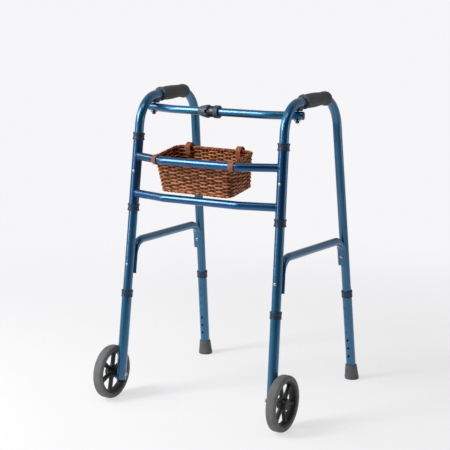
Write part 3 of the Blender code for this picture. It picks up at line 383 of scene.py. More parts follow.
wicker = {
    "stops": ((0.26, "#160502"), (0.60, "#8a4520"), (1.0, "#df945e")), "roughness": (0.52, 0.76),
    # widths in millimetres, the fibres coarser than real ones, which wouldn't show, and their depth in metres
    "streak": 7.0, "fibre": 1.1, "fibreDepth": 0.0003,
}


def makeWicker():
    # Split willow, stained and matt varnished: each rod has its own tone, with painted highlight and painted shade in
    # it, and fine fibres along it.
    made, tree, shader = newMaterial("varnishedWillow", {"IOR": 1.45})
    tone = addNode(tree, "ShaderNodeAttribute", out="Fac", attribute_name="rodTone")
    place = addNode(tree, "ShaderNodeTexCoord", out="Object")
    streak = addNode(tree, "ShaderNodeTexNoise", {"Vector": place, "Scale": perMetre(wicker["streak"]), "Detail": 4.0})
    total = addNode(tree, "ShaderNodeMath", {0: tone, 1: streak}, operation="ADD")
    ramp = addNode(tree, "ShaderNodeValToRGB", {"Fac": total})
    bands = ramp.node.color_ramp.elements
    (low, dark), (middle, mid), (high, pale) = wicker["stops"]
    bands[0].position, bands[0].color = low, fromHex(dark)
    bands[1].position, bands[1].color = high, fromHex(pale)
    bands.new(middle).color = fromHex(mid)
    fibre = addNode(tree, "ShaderNodeTexNoise", {"Vector": place, "Scale": perMetre(wicker["fibre"]), "Detail": 3.0})
    smooth, coarse = wicker["roughness"]
    rough = addNode(tree, "ShaderNodeMapRange", {"Value": fibre, "To Min": smooth, "To Max": coarse})
    bump = addNode(tree, "ShaderNodeBump", {"Height": fibre, "Strength": 1.0, "Distance": wicker["fibreDepth"]})
    linkShader(tree, shader, ramp, rough, bump)
    return made


def makeLeather(name):
    # Vegetable-tanned strap leather: pores about a millimetre apart and a soft sheen.
    made = makeSurface(name, patchSize=12, smearSize=4, bumps=((9.0, 0.0003),),
                       constants={"Sheen Weight": 0.04, "Sheen Roughness": 0.5})
    tree, normal = made.node_tree, made.node_tree.nodes["Principled BSDF"].inputs["Normal"]
    place = addNode(tree, "ShaderNodeTexCoord", out="Object")
    pores = addNode(tree, "ShaderNodeTexVoronoi", {"Vector": place, "Scale": perMetre(1.3)}, feature="SMOOTH_F1")
    bump = addNode(tree, "ShaderNodeBump", {"Height": pores, "Normal": normal.links[0].from_socket, "Strength": 1.0,
                                            "Distance": 0.00018})
    tree.links.new(bump, normal)
    return made


blueLacquer = makeLacquer("blueLacquer")
deepBlueLacquer = makeLacquer("deepBlueLacquer")
mouldedNylon = makeMoulded("mouldedNylon", 0.9, 0.00003)
satinNylon = makeMoulded("satinNylon", 0.9, 0.00001)
gripVinyl = makeMoulded("gripVinyl", 1.1, 0.00008)
blackNylon = makeMoulded("blackNylon", 0.8, 0.00002)
tyreRubber = makeMoulded("tyreRubber", 1.2, 0.00006)
ferruleRubber = makeMoulded("ferruleRubber", 1.2, 0.00006)
zincPlate = makeMetal("zincPlate", 0.7)
blackenedSteel = makeMetal("blackenedSteel", 0.7)
anodisedAluminium = makeMetal("anodisedAluminium", 0.5)
varnishedWillow = makeWicker()
strapLeather = makeLeather("strapLeather")
burnishedEdge = makeLeather("burnishedEdge")
linenThread = makeMoulded("linenThread", 0.6, 0.00005, patchSize=5)
print("materials made")

sides = {sign: SideLines(sign) for sign in (-1, 1)}


sideTube = {"holeRadius": 0.0034, "holeDepth": (0.006, 0.018), "buttonZ": {"front": 0.2254, "rear": 0.1512}}


def handlePath(side):
    corners = [side.leg("front", tubes["frontEnd"]), side.frontTop, side.rearTop, side.leg("rear", tubes["rearEnd"])]
    return roundedPath(corners, [tubes["frontBend"], tubes["rearBend"]])


def pegInto(bm, at, direction, radius, low, high):
    latheInto(bm, [(0, high), (radius, high), (radius, low), (0, low)], along(direction, at), sides=20)


def makeSideTube(side):
    # Front leg, handle and rear leg bent from one tube, with a hole for each snap button.
    bm, holes = bmesh.new(), bmesh.new()
    tubeInto(bm, handlePath(side), tubes["legRadius"], tubes["legWall"])
    for end in legEnds:
        at = side.leg(end, sideTube["buttonZ"][end])
        pegInto(holes, at, side.rearward(end), sideTube["holeRadius"], *sideTube["holeDepth"])
    piece = cutAway(finishPiece(f"sideTube.{side.name}", bm, blueLacquer), holes)
    settle(piece, side.body, f"side_tube_{side.name}")


brace = {
    "frontZ": 0.4495, "rearZ": 0.4360, "endZ": 0.360, "bend": 0.046,
    "flatThick": 0.0048, "flatWide": 0.0135, "flatRun": 0.045, "rivetZ": 0.386,
}


def bracePath(side):
    off = tubes["legRadius"] + brace["flatThick"] + looseGap
    frontStep, rearStep = side.inward("front") * off, side.inward("rear") * off
    corners = [side.leg("front", brace["endZ"]) + frontStep, side.leg("front", brace["frontZ"]) + frontStep,
               side.leg("rear", brace["rearZ"]) + rearStep, side.leg("rear", brace["endZ"]) + rearStep]
    return roundedPath(corners, [brace["bend"]] * 2)


def denser(points, longest):
    # Adds points so that no stretch of a path is longer than given.
    filled = [points[0]]
    for first, second in zip(points, points[1:]):
        pieces = max(1, math.ceil((second - first).length / longest))
        filled += [first.lerp(second, step / pieces) for step in range(1, pieces + 1)]
    return filled


def makeBrace(side):
    # Round in the middle and pressed flat where it lies against the legs.
    straight = bracePath(side)
    flatEnd = (straight[1] - straight[0]).length
    points = denser(straight, 0.006)
    runs, outer, inner = runsAlong(points), [], []
    for (point, tangent, _, _), run in zip(pathFrames(points), runs):
        share = min(1.0, max(0.0, (min(run, runs[-1] - run) - flatEnd) / brace["flatRun"]))
        share = share * share * (3 - 2 * share)
        thick = brace["flatThick"] + (tubes["barRadius"] - brace["flatThick"]) * share
        wide = brace["flatWide"] + (tubes["barRadius"] - brace["flatWide"]) * share
        at = (point, tangent, tangent.cross(side.out).normalized(), side.out)
        outer.append(circleRing(at, thick, wide))
        inner.append(circleRing(at, thick - tubes["barWall"], wide - tubes["barWall"]))
    bm = bmesh.new()
    ringsInto(bm, outer + inner[::-1], loop=True)
    settle(finishPiece(f"sideBrace.{side.name}", bm, blueLacquer), side.body, f"brace_{side.name}")


rivet = {
    "headRadius": 0.0044, "headTall": 0.0020, "rim": 0.0002, "shankRadius": 0.0025,
    "domeAngles": (0.0, 0.3, 0.6, 0.9, 1.15, 1.35),
}


def makeRivet(name, at, direction, length, body, node):
    # A button head with a rolled rim, and its shank.
    radius, tall = rivet["headRadius"], rivet["headTall"]
    dome = [(radius * math.sin(angle), tall * math.cos(angle)) for angle in rivet["domeAngles"]]
    bm = bmesh.new()
    latheInto(bm, dome + [(radius, rivet["rim"]), (radius, 0), (0, 0)], along(direction, at), sides=28)
    pegInto(bm, at, direction, rivet["shankRadius"], -length, 0)
    settle(finishPiece(name, bm, zincPlate), body, node)


def makeBraceRivets(side):
    outer = tubes["legRadius"] + looseGap
    behind = outer + brace["flatThick"] * 2 + looseGap
    for end in legEnds:
        at, inward = side.leg(end, brace["rivetZ"]), side.inward(end)
        start, way = (at - inward * outer, -inward) if end == "front" else (at + inward * behind, inward)
        makeRivet(f"braceRivet.{end}.{side.name}", start, way, outer + behind, side.body,
                  f"brace_rivet_{end}_{side.name}")


grip = {
    "start": 0.0970, "run": 0.1450, "stations": 90, "innerStep": 5,   # the inner step has to divide the stations
    "flangeFace": (0.0150, 0.0176),   # rings of the flange's face, which is slightly dished
    "profile": (        # share of the length, radius: flange, neck, palm swell, finger hollow, end bulb
        (0.000, 0.0182), (0.004, 0.0194), (0.012, 0.0201), (0.030, 0.0202), (0.042, 0.0196), (0.054, 0.0180),
        (0.075, 0.0180), (0.14, 0.0189), (0.30, 0.0197), (0.46, 0.0195), (0.62, 0.0184), (0.72, 0.0179),
        (0.80, 0.0184), (0.86, 0.0198), (0.91, 0.0198), (0.955, 0.0180), (0.985, 0.0160), (1.000, 0.0146)),
}


def profileAt(profile, share, steepest=0.002):
    # Smooth value of a profile between its points.
    for index, (first, second) in enumerate(zip(profile, profile[1:])):
        if share <= second[0]:
            before, after = profile[max(0, index - 1)], profile[min(len(profile) - 1, index + 2)]
            span = second[0] - first[0]
            t = (share - first[0]) / span
            slopeA, slopeB = [max(-steepest, min(steepest, (high[1] - low[1]) / max(high[0] - low[0], 1e-6) * span))
                              for low, high in ((before, second), (first, after))]
            return ((2 * t ** 3 - 3 * t ** 2 + 1) * first[1] + (t ** 3 - 2 * t ** 2 + t) * slopeA
                    + (3 * t ** 2 - 2 * t ** 3) * second[1] + (t ** 3 - t ** 2) * slopeB)
    return profile[-1][1]


def runTo(path, start):
    # Distance along a path to the place nearest to start.
    run, found, best = 0.0, 0.0, None
    for first, second in zip(path, path[1:]):
        step = second - first
        share = min(1.0, max(0.0, (start - first).dot(step) / step.length_squared))
        gap = (first + step * share - start).length
        if best is None or gap < best:
            best, found = gap, run + step.length * share
        run += step.length
    return found


def pointAt(path, distance):
    run = 0.0
    for first, second in zip(path, path[1:]):
        length = (second - first).length
        if run + length >= distance:
            return first.lerp(second, (distance - run) / length)
        run += length
    return path[-1]


def makeGrip(side):
    path = handlePath(side)
    begin = runTo(path, side.frontTop + side.back * grip["start"])
    shares = [index / grip["stations"] for index in range(grip["stations"] + 1)]
    around = pathFrames([pointAt(path, begin + share * grip["run"]) for share in shares])
    outer = [circleRing(at, profileAt(grip["profile"], share)) for at, share in zip(around, shares)]
    mouth = [circleRing(around[0], radius) for radius in grip["flangeFace"]]
    inside = [circleRing(at, tubes["legRadius"] + snugGap) for at in around[::-grip["innerStep"]]]
    bm = bmesh.new()
    ringsInto(bm, inside + mouth + outer, loop=True)
    settle(finishPiece(f"handGrip.{side.name}", bm, gripVinyl, sharpFrom=60), side.body, f"grip_{side.name}")


lowerLeg = {
    "radius": 0.0140, "wall": 0.0010, "holeRadius": 0.0036, "pitch": 0.0254, "holes": {"front": 5, "rear": 7},
    "lowest": {"front": 0.200, "rear": 0.075}, "holeDepth": {"front": (0.007, 0.018), "rear": (-0.018, 0.018)},
    "collarZ": {"front": 0.304, "rear": 0.267}, "belowAxle": 0.0170, "ferruleFloor": 0.0120, "rearLean": 6.84,
    "plug": ((0, 10), (12.8, 10), (12.8, 0.6), (11.904, 0.2), (7.04, 0.6), (0, 0.6)),   # outline in millimetres
}
neckTall = 0.0030   # of a ring, the part above its outer tube's end
collarRing = {   # steps are pairs of share of the height and inset
    "radius": 0.0163, "tall": 0.020, "tube": lowerLeg["radius"],
    "steps": ((0, 0.0009), (0.05, 0), (0.28, 0), (0.31, 0.0005), (0.86, 0.0005), (0.89, 0.0002), (1, 0.0002)),
}


def makeLowerLeg(side, end, body):
    axis = side.axis(end)
    top = side.leg(end, lowerLeg["collarZ"][end]) + axis * (collarRing["tall"] / 2 - neckTall - looseGap)
    if end == "front":
        bottom = side.leg(end, wheel["radius"]) - axis * lowerLeg["belowAxle"]
    else:
        lift = lowerLeg["radius"] * math.tan(math.radians(lowerLeg["rearLean"])) + looseGap
        bottom = side.leg(end, lowerLeg["ferruleFloor"]) + axis * lift
    bm, holes = bmesh.new(), bmesh.new()
    tubeInto(bm, [bottom, top], lowerLeg["radius"], lowerLeg["wall"])
    for index in range(lowerLeg["holes"][end]):
        at = side.leg(end, lowerLeg["lowest"][end]) + axis * index * lowerLeg["pitch"]
        pegInto(holes, at, side.rearward(end), lowerLeg["holeRadius"], *lowerLeg["holeDepth"][end])
    piece = cutAway(finishPiece(f"lowerLeg.{end}.{side.name}", bm, blueLacquer), holes)
    settle(piece, body, f"lower_leg_{end}_{side.name}")
    if end == "front":   # a moulded plug closes the tube below the axle
        turnPiece(f"legPlug.{side.name}", millimetres(lowerLeg["plug"]), along(axis, bottom), mouldedNylon, body,
                  soft=0.0006)


def makeRing(name, ring, side, end, z, body, node, flip=False):
    # A moulded ring with shallow steps on the end of an outer tube, its neck close round the inner one.
    half, bore, neck = ring["tall"] / 2, ring["tube"] + snugGap, tubes["legRadius"] + snugGap
    outside = [(ring["radius"] - inset, half - ring["tall"] * share) for share, inset in ring["steps"]]
    profile = [(neck, half)] + outside + [(bore, -half), (bore, half - neckTall), (neck, half - neckTall)]
    pose = along(side.axis(end), side.leg(end, z)) @ Matrix.Rotation(math.pi if flip else 0.0, 4, "X")
    turnPiece(name, profile, pose, mouldedNylon, body, node, closed=True, soft=0.0005)


# a domed button on its flange, as on a leaf spring: millimetres from just under the inner tube's outside
snapButton = ((0, 0), (1.395, -0.2), (2.48, -0.8), (3.1, -1.8), (3.1, -4.4), (5, -4.4), (5, -6.2), (0, -6.2))


def makeButton(side, end):
    pose = along(side.rearward(end), side.leg(end, sideTube["buttonZ"][end]))
    profile = millimetres(snapButton, height=tubes["legRadius"] - looseGap)
    turnPiece(f"snapButton.{end}.{side.name}", profile, pose, zincPlate, f"{end}_button_{side.name}",
              f"snap_button_{end}_{side.name}", sides=24)


ferrule = {
    "topRadius": 0.0172, "baseRadius": 0.0210, "tall": 0.0450, "room": 0.0004,
    # outlines in millimetres: the mouth from its bore, the neck from its outer top edge, the foot from its outer base
    "mouth": ((0, -0.5), (0.8, 0)), "neck": ((-1.2, 0), (0, -1.4), (-0.1, -5), (0.6, -11), (1.8, -22.5)),
    "foot": ((-0.9, 12.6), (0, 9), (0, 5.2), (-0.6, 4.7), (-0.6, 4.2), (0, 3.7), (0, 1.2), (-1.2, 0), (-5, 0),
             (-5.5, 0.8), (-8.5, 0.8), (-9, 0)),
}


def makeFerrule(side, body):
    # A rubber foot that leans with the leg and stands flat on the floor.
    bore, tall, floor = lowerLeg["radius"] + ferrule["room"], ferrule["tall"], lowerLeg["ferruleFloor"] - snugGap
    profile = ([(0, floor), (bore, floor)] + millimetres(ferrule["mouth"], bore, tall)
               + millimetres(ferrule["neck"], ferrule["topRadius"], tall)
               + millimetres(ferrule["foot"], ferrule["baseRadius"]) + [(0, 0)])
    pose = Matrix.Translation(side.leg("rear", 0))
    for row in (0, 1):
        pose[row][2] = side.rearAxis[row] / side.rearAxis.z
    turnPiece(f"ferrule.{side.name}", profile, pose, ferruleRubber, body, f"ferrule_{side.name}", sharpFrom=50,
              soft=0.0006)


wheel = {   # the axle stands one radius above the floor
    "radius": 0.0759, "tyreThick": 0.0150, "tyreWide": 0.0270, "tread": 3.2, "bead": 7.0, "partingLine": 0.0016,
    "out": 0.0326, "rimThick": 0.0050, "rimWide": 0.0210, "rimEdge": 0.0012, "rimCrown": (0.0008, 0.0010),
    "spokes": 6, "turn": {-1: 12.0, 1: 46.0},   # degrees
    # a spoke's middle, what its flares add at the hub and at the rim, and each flare's share of the length
    "spokeWide": (0.0116, 0.0100, 0.0060), "spokeThick": (0.0104, 0.0026, 0.0040), "flares": (0.30, 0.28),
    "spokeSquare": 0.45, "spokeRoot": 0.70,   # how square its section is, and where in the hub it starts
    "hubRadius": 0.0165, "hubWide": 0.0200, "axleRadius": 0.0040, "axlePast": 0.0035, "capRadius": 0.0150,
    "capTall": 0.0050, "capRoof": 0.0014,
    # outlines in millimetres: the hub's back from the wheel's middle, its face from its outer edge, the bolt's head
    # from the leg and the cap's face from its top
    "hubBack": ((10.23, 0), (10.89, -11.5), (15.675, -10), (16.5, -8.5)),
    "hubFace": ((0, -1.2), (-1, 0), (-2.2, 0), (-2.6, -0.6)),
    "boltHead": ((6.4, 0), (6.5, -0.4), (6.5, -0.9), (5.6, -1.1), (5.4, -2.6), (4.4, -3.9), (2.4, -4.4), (0, -4.5)),
    "capFace": ((0, -0.4), (7.5, -0.4), (8.1, -0.8), (9, -0.8), (9.6, -0.1), (12, -0.4), (14.1, -1.6), (15, -3)),
}


def axlePose(side, out=0.0):
    way = sideAxis * side.sign
    return along(way, side.leg("front", wheel["radius"]) + way * out)


def squarer(value, power):
    # Pushes a sine or cosine outward, so that a circle becomes a rounded square.
    return math.copysign(abs(value) ** power, value)


def makeTyre(side, body):
    # Solid foam tyre of rounded square section, with the mould's parting line round the tread.
    half, thick, crown, section = wheel["tyreWide"] / 2, wheel["tyreThick"], wheel["radius"] - 0.00025, []
    for angle in turnSteps(36):
        power = 2 / (wheel["tread"] if math.sin(angle) > 0 else wheel["bead"])
        x = squarer(math.cos(angle), power) * half
        r = wheel["radius"] - thick / 2 + squarer(math.sin(angle), power) * thick / 2
        section.append((min(r, crown) if abs(x) < wheel["partingLine"] / 2 else r, x))
    turnPiece(f"tyre.{side.name}", section, axlePose(side, wheel["out"]), tyreRubber, body, f"tyre_{side.name}",
              sharpFrom=60, sides=128, closed=True)


def spokeInto(bm, pose, start, stop, steps=14, sides=16):
    # A spoke that flares into the hub and the rim, with rounded edges.
    rows = []
    for step in range(steps + 1):
        share = step / steps
        nearHub, nearRim = [max(0.0, 1 - away / flare) ** 2 for away, flare in zip((share, 1 - share), wheel["flares"])]
        wide, thick = [middle + atHub * nearHub + atRim * nearRim
                       for middle, atHub, atRim in (wheel["spokeWide"], wheel["spokeThick"])]
        row = []
        for angle in turnSteps(sides, 0.5):
            across, up = [squarer(value, wheel["spokeSquare"]) for value in (math.cos(angle), math.sin(angle))]
            row.append(pose @ Vector((start + (stop - start) * share, across * wide / 2, up * thick / 2)))
        rows.append(row)
    ringsInto(bm, rows, capped=True)


def makeWheelCentre(side, body):
    # Rim, six spokes and hub in one black moulding.
    pose, bm = axlePose(side, wheel["out"]), bmesh.new()
    rimOut = wheel["radius"] - wheel["tyreThick"] - snugGap
    rimIn, half, edge = rimOut - wheel["rimThick"], wheel["rimWide"] / 2, wheel["rimEdge"]
    crown, flat = wheel["rimCrown"]
    rim = [(rimOut, half), (rimOut, -half), (rimIn + edge, -half), (rimIn, edge - half), (rimIn - crown, -flat),
           (rimIn - crown, flat), (rimIn, half - edge), (rimIn + edge, half)]
    latheInto(bm, rim, pose, sides=128, closed=True, soft=0.0005)
    inner = lowerLeg["radius"] + looseGap - wheel["out"]
    bore, hub, face = wheel["axleRadius"] + looseGap, wheel["hubRadius"], wheel["hubWide"] / 2
    boss = ([(bore, inner)] + millimetres(wheel["hubBack"][:1], height=inner) + millimetres(wheel["hubBack"][1:])
            + millimetres(wheel["hubFace"], hub, face) + [(bore, face - 0.0006)])
    latheInto(bm, boss, pose, sides=56, closed=True, soft=0.0005)
    first = -side.sign * math.radians(wheel["turn"][side.sign])
    for index in range(wheel["spokes"]):
        turn = Matrix.Rotation(2 * math.pi * index / wheel["spokes"] + first, 4, "Z")
        spokeInto(bm, pose @ turn, hub * wheel["spokeRoot"], rimIn + crown)
    settle(finishPiece(f"wheelCentre.{side.name}", bm, blackNylon), body, f"wheel_centre_{side.name}")


def makeAxle(side, body):
    # Bolt head and washer inboard of the leg, plain shank through the hub, cap outside.
    pose, shank, hubEnd = axlePose(side), wheel["axleRadius"], wheel["out"] + wheel["hubWide"] / 2
    legFace, end = -lowerLeg["radius"] - looseGap, hubEnd + wheel["axlePast"]
    head = [(0, end), (shank, end), (shank, legFace)] + millimetres(wheel["boltHead"], height=legFace)
    turnPiece(f"axleBolt.{side.name}", head, pose, zincPlate, body, f"axle_bolt_{side.name}", sides=40, soft=0.0004)
    low, inside = hubEnd + looseGap, shank + looseGap
    high = low + wheel["capTall"]
    roof = high - wheel["capRoof"]
    cap = (millimetres(wheel["capFace"], height=high)
           + [(wheel["capRadius"], low), (inside, low), (inside, roof), (0, roof)])
    turnPiece(f"hubCap.{side.name}", cap, pose, blackNylon, body, f"hub_cap_{side.name}", soft=0.0004)


for side in sides.values():
    makeSideTube(side)
    makeBrace(side)
    makeBraceRivets(side)
    makeGrip(side)
    for end in legEnds:
        legBody = f"{end}_leg_{side.name}"
        makeLowerLeg(side, end, legBody)
        makeRing(f"legCollar.{end}.{side.name}", collarRing, side, end, lowerLeg["collarZ"][end], legBody,
                 f"leg_collar_{end}_{side.name}")
        makeButton(side, end)
    makeFerrule(side, f"rear_leg_{side.name}")
    makeTyre(side, f"wheel_{side.name}")
    makeWheelCentre(side, f"wheel_{side.name}")
    makeAxle(side, f"front_leg_{side.name}")
print("side frames, legs and wheels made")


frontFrame = {
    "bushZ": {"upper": 0.742, "lower": 0.5454}, "rivetZ": 0.646, "rivetLong": 0.0012,
    "barZ": {"upper": 0.688, "lower": 0.585}, "bow": {"upper": 0.046, "lower": 0.028}, "bowHalf": 0.117,
    "bowBend": 0.045, "weld": 0.0016,
}
bushRing = {
    "radius": 0.0168, "tall": 0.0205, "tube": tubes["sleeveRadius"],
    "steps": ((0, 0.0008), (0.04, 0), (0.24, 0), (0.29, 0.0013), (0.74, 0.0013), (0.79, 0.0001), (0.97, 0.0001),
              (1, 0.0007)),
}
rootBody = "front_frame"


def makeSleeve(side):
    axis, heights, inset = side.frontAxis, frontFrame["bushZ"], neckTall + looseGap
    rise = (heights["upper"] - heights["lower"]) / axis.z + bushRing["tall"] - 2 * inset
    low = side.leg("front", heights["lower"]) - axis * (bushRing["tall"] / 2 - inset)
    bm = bmesh.new()
    tubeInto(bm, [low, low + axis * rise], tubes["sleeveRadius"], tubes["sleeveWall"])
    settle(finishPiece(f"sleeve.{side.name}", bm, deepBlueLacquer), rootBody, f"sleeve_{side.name}")
    for level, z in heights.items():
        makeRing(f"bush.{level}.{side.name}", bushRing, side, "front", z, rootBody, f"bush_{level}_{side.name}",
                 flip=level == "lower")
    forward = -side.rearward("front")
    at = side.leg("front", frontFrame["rivetZ"]) + forward * (tubes["sleeveRadius"] + looseGap)
    makeRivet(f"sleeveRivet.{side.name}", at, forward, frontFrame["rivetLong"], rootBody, f"sleeve_rivet_{side.name}")


def crossbarPath(level):
    z = frontFrame["barZ"][level]
    left, right = sides[-1].leg("front", z), sides[1].leg("front", z)
    y, half = left.y - frontFrame["bow"][level], frontFrame["bowHalf"]
    return roundedPath([left, Vector((-half, y, z)), Vector((half, y, z)), right], [frontFrame["bowBend"]] * 2)


def copeRun(base, way, axis, reach):
    # How far along way a line from base leaves a cylinder of radius reach round an axis through the origin.
    flatBase, flatWay = squareTo(axis, base), squareTo(axis, way)
    a, b, c = flatWay.length_squared, 2 * flatBase.dot(flatWay), flatBase.length_squared - reach ** 2
    return (-b + math.sqrt(max(0.0, b * b - 4 * a * c))) / (2 * a)


def makeCrossbar(level):
    # The bowed bar, coped to both sleeves, with a fillet weld round each end.
    path = crossbarPath(level)
    around, reach = pathFrames(path), tubes["sleeveRadius"] + 0.0001
    outer, inner = [[circleRing(at, radius) for at in around]
                    for radius in (tubes["barRadius"], tubes["barRadius"] - tubes["barWall"])]
    for rings in (outer, inner):
        for ring, side, way in ((0, sides[-1], 1), (-1, sides[1], -1)):
            centre, tangent = around[ring][0], around[ring][1] * way
            rings[ring] = [point + tangent * copeRun(point - centre, tangent, side.frontAxis, reach)
                           for point in rings[ring]]
    bm = bmesh.new()
    ringsInto(bm, outer + inner[::-1], loop=True)
    for ring in (0, -1):
        seam = pathFrames(outer[ring][::2], closed=True)
        ringsInto(bm, [circleRing(at, frontFrame["weld"], sides=10) for at in seam], loop=True)
    settle(finishPiece(f"crossbar.{level}", bm, deepBlueLacquer, sharpFrom=50), rootBody, f"crossbar_{level}")
    return path


for side in sides.values():
    makeSleeve(side)
upperPath = makeCrossbar("upper")
makeCrossbar("lower")
print("front frame made")


topBar = {
    "z": 0.816, "pivotRun": 0.0662, "back": 0.0422, "kinkX": 0.150, "bend": 0.120, "bendStep": 2.0, "overrun": 0.0150,
    "capTall": 0.0035, "boltRadius": 0.0030, "boltUp": 0.0185, "room": 0.0010,
    # outlines in millimetres: the cap from its face and from the bar's end, the rest from under the bar
    "capFace": ((0, 0), (7.77, -0.2), (9.9, -0.8), (11.1, -2)),
    "capPlug": ((11.1, 0), (9.3, 0), (9.3, -7.3), (0, -7.3)),
    "boltEnd": ((3, -8), (2.4, -8.6), (0, -8.6)),
    "washer": ((3.3, 0), (9.2, 0), (9.2, -1.6), (8, -2.6), (3.3, -2.6)),
    "nut": ((3.3, -2.6), (5, -2.6), (5.6, -3), (5.6, -6.8), (4.8, -7.6), (3.3, -7.6)),
}


def pivotAt(side):
    at = side.frontTop + side.back * topBar["pivotRun"]
    return Vector((at.x, at.y, topBar["z"]))


def straightY():
    return sides[1].frontTop.y + topBar["back"]


def makeHalfBar(side, innerX, body):
    at, kink = pivotAt(side), Vector((side.sign * topBar["kinkX"], straightY(), topBar["z"]))
    way = (at - kink).normalized()
    outer = at + way * topBar["overrun"]
    path = roundedPath([outer, kink, Vector((innerX, kink.y, kink.z))], [topBar["bend"]], topBar["bendStep"])
    bm = bmesh.new()
    tubeInto(bm, path, tubes["barRadius"], tubes["barWall"])
    settle(finishPiece(f"topBar.{side.name}", bm, blueLacquer), body, f"top_bar_{side.name}")
    cap = (millimetres(topBar["capFace"], height=looseGap + topBar["capTall"])
           + millimetres(topBar["capPlug"], height=looseGap))
    turnPiece(f"topBarCap.{side.name}", cap, along(way, outer), satinNylon, body, f"top_bar_cap_{side.name}",
              sides=48, soft=0.0004)


def makePivot(side):
    # Bolt, wide washer and nut below the bar. The saddle above it keeps its solid.
    pose, top = along(side.frontAxis, pivotAt(side)), -tubes["barRadius"] - topBar["room"]
    shank = [(0, topBar["boltUp"]), (topBar["boltRadius"], topBar["boltUp"])]
    turnPiece(f"pivotBolt.{side.name}", shank + millimetres(topBar["boltEnd"], height=top), pose, blackenedSteel,
              side.body, f"pivot_bolt_{side.name}", sides=28)
    bm = bmesh.new()
    latheInto(bm, millimetres(topBar["washer"], height=top), pose, sides=40, closed=True, soft=0.0004)
    latheInto(bm, millimetres(topBar["nut"], height=top), pose, sides=6, closed=True)
    settle(finishPiece(f"pivotNut.{side.name}", bm, blackenedSteel), side.body, f"pivot_nut_{side.name}")
    nodes[f"pivot_bracket_{side.name}"].data.materials[0] = mouldedNylon


clasp = {
    "coneX": (-0.0615, -0.0380, -0.0325), "coneRadius": 0.0183, "socket": 0.0120, "gap": 0.0069, "web": 0.0045,
    "barrelRadius": 0.0155, "barrelLong": 0.0175, "collarRadius": 0.0178, "collarLong": 0.0150, "lap": 0.0050,
    "room": 0.0004, "ribs": 3, "ribPitch": 0.0035, "slot": 0.0096, "slotRoom": 0.0025, "lean": 7.23,
    "tongueThick": 0.0088, "tongueWide": 0.0240, "tongueIn": 0.0050,
    "closer": 0.0025,   # both faces are drawn nearer, so that only a thin dark joint shows
    # outlines in millimetres: the cone from its face, shoulder and thin end, the barrel from its two ends, and one
    # finger rib and the two edges of the collar
    "coneFace": ((0, -1), (11.346, -1), (12.078, 0), (15.9, 0), (18.3, -2.4)), "coneShoulder": ((18.3, 0), (16.9, -7)),
    "coneTail": ((15.1, 9.5), (12.7, 3), (12.2, 0.8), (11.7, 0)), "barrelEnd": ((15.5, -0.6), (14.9, 0)),
    "barrelFace": ((0, 0), (13.3, 0), (15.5, 1.6), (15.5, 3), (14.8, 3.4), (14.8, 4.6), (15.5, 5)),
    "rib": ((0, 0), (-0.6, -0.6), (-0.6, -1.2), (0, -1.8)), "collarTop": ((-1.6, 0), (0, -1.6)),
    "collarBase": ((0, 1.4), (-1.4, 0)),
}


def boxInto(bm, pose, size, centreX, bevel):
    verts = bmesh.ops.create_cube(bm, size=1.0)["verts"]
    for vert in verts:
        vert.co = Vector([vert.co[axis] * size[axis] + (centreX, 0, 0)[axis] for axis in range(3)])
    edges = list({edge for vert in verts for edge in vert.link_edges})
    grown = bmesh.ops.bevel(bm, geom=edges, offset=bevel, segments=3, affect="EDGES")
    moved = {vert for face in grown["faces"] for vert in face.verts} | {vert for vert in verts if vert.is_valid}
    bmesh.ops.transform(bm, matrix=pose, verts=list(moved))


def makeClasp():
    # Fork and tongue lean, so as to lie square to the hinge lines. Returns where the two half bars start inside.
    middle = Vector((0, straightY(), topBar["z"]))
    line = along(sideAxis, middle, upAxis)
    leaned = Matrix.Translation(middle) @ Matrix.Rotation(-math.radians(clasp["lean"]), 4, "X")
    thin, full, face = clasp["coneX"]
    full, face = full + clasp["closer"], face + clasp["closer"]
    bore, seat = tubes["barRadius"] + looseGap, thin + clasp["socket"]
    cone = (millimetres(clasp["coneFace"], height=face) + millimetres(clasp["coneShoulder"], height=full)
            + millimetres(clasp["coneTail"], height=thin) + [(bore, thin), (bore, seat), (0, seat)])
    bm, fork = bmesh.new(), bmesh.new()
    latheInto(bm, cone, line, sides=72, soft=0.0009)
    depth = clasp["tongueIn"] + clasp["slotRoom"]
    boxInto(fork, leaned, (depth * 2, clasp["coneRadius"] * 3, clasp["slot"]), face, 0.0006)
    settle(cutAway(finishPiece("claspCone", bm, satinNylon), fork), "top_bar_left", "clasp_cone", slot="dark_plastic")

    start = face + clasp["gap"] - 2 * clasp["closer"]
    end, web = start + clasp["barrelLong"] + clasp["closer"], start + clasp["web"]
    barrel = (millimetres(clasp["barrelFace"], height=start) + millimetres(clasp["barrelEnd"], height=end)
              + [(bore, end), (bore, web), (0, web)])
    bm = bmesh.new()
    latheInto(bm, barrel, line, sides=72, soft=0.0005)
    turned = set(bm.faces)
    tip, root = face - clasp["tongueIn"], start + clasp["web"] / 2
    boxInto(bm, leaned, (root - tip, clasp["tongueWide"], clasp["tongueThick"]), (root + tip) / 2, 0.0010)
    for one in bm.faces:
        one.material_index = 0 if one in turned else 1
    settle(finishPiece("claspBarrel", bm, anodisedAluminium, blackenedSteel), "top_bar_right", "clasp_barrel")

    low, outer, room = end - clasp["lap"], clasp["collarRadius"], clasp["room"]
    neck, inner, high = tubes["barRadius"] + room, clasp["barrelRadius"] + room, low + clasp["collarLong"]
    roof, ribs = high - neckTall, []
    for index in range(clasp["ribs"]):
        ribs += millimetres(clasp["rib"], outer, high - (index + 1) * clasp["ribPitch"])
    collar = ([(neck, high)] + millimetres(clasp["collarTop"], outer, high) + ribs
              + millimetres(clasp["collarBase"], outer, low) + [(inner, low), (inner, roof), (neck, roof)])
    turnPiece("releaseCollar", collar, line, satinNylon, "release_collar", "clasp_release_collar", sides=72,
              closed=True, soft=0.0004)
    return seat - looseGap, end - clasp["barrelLong"] + clasp["web"] + looseGap


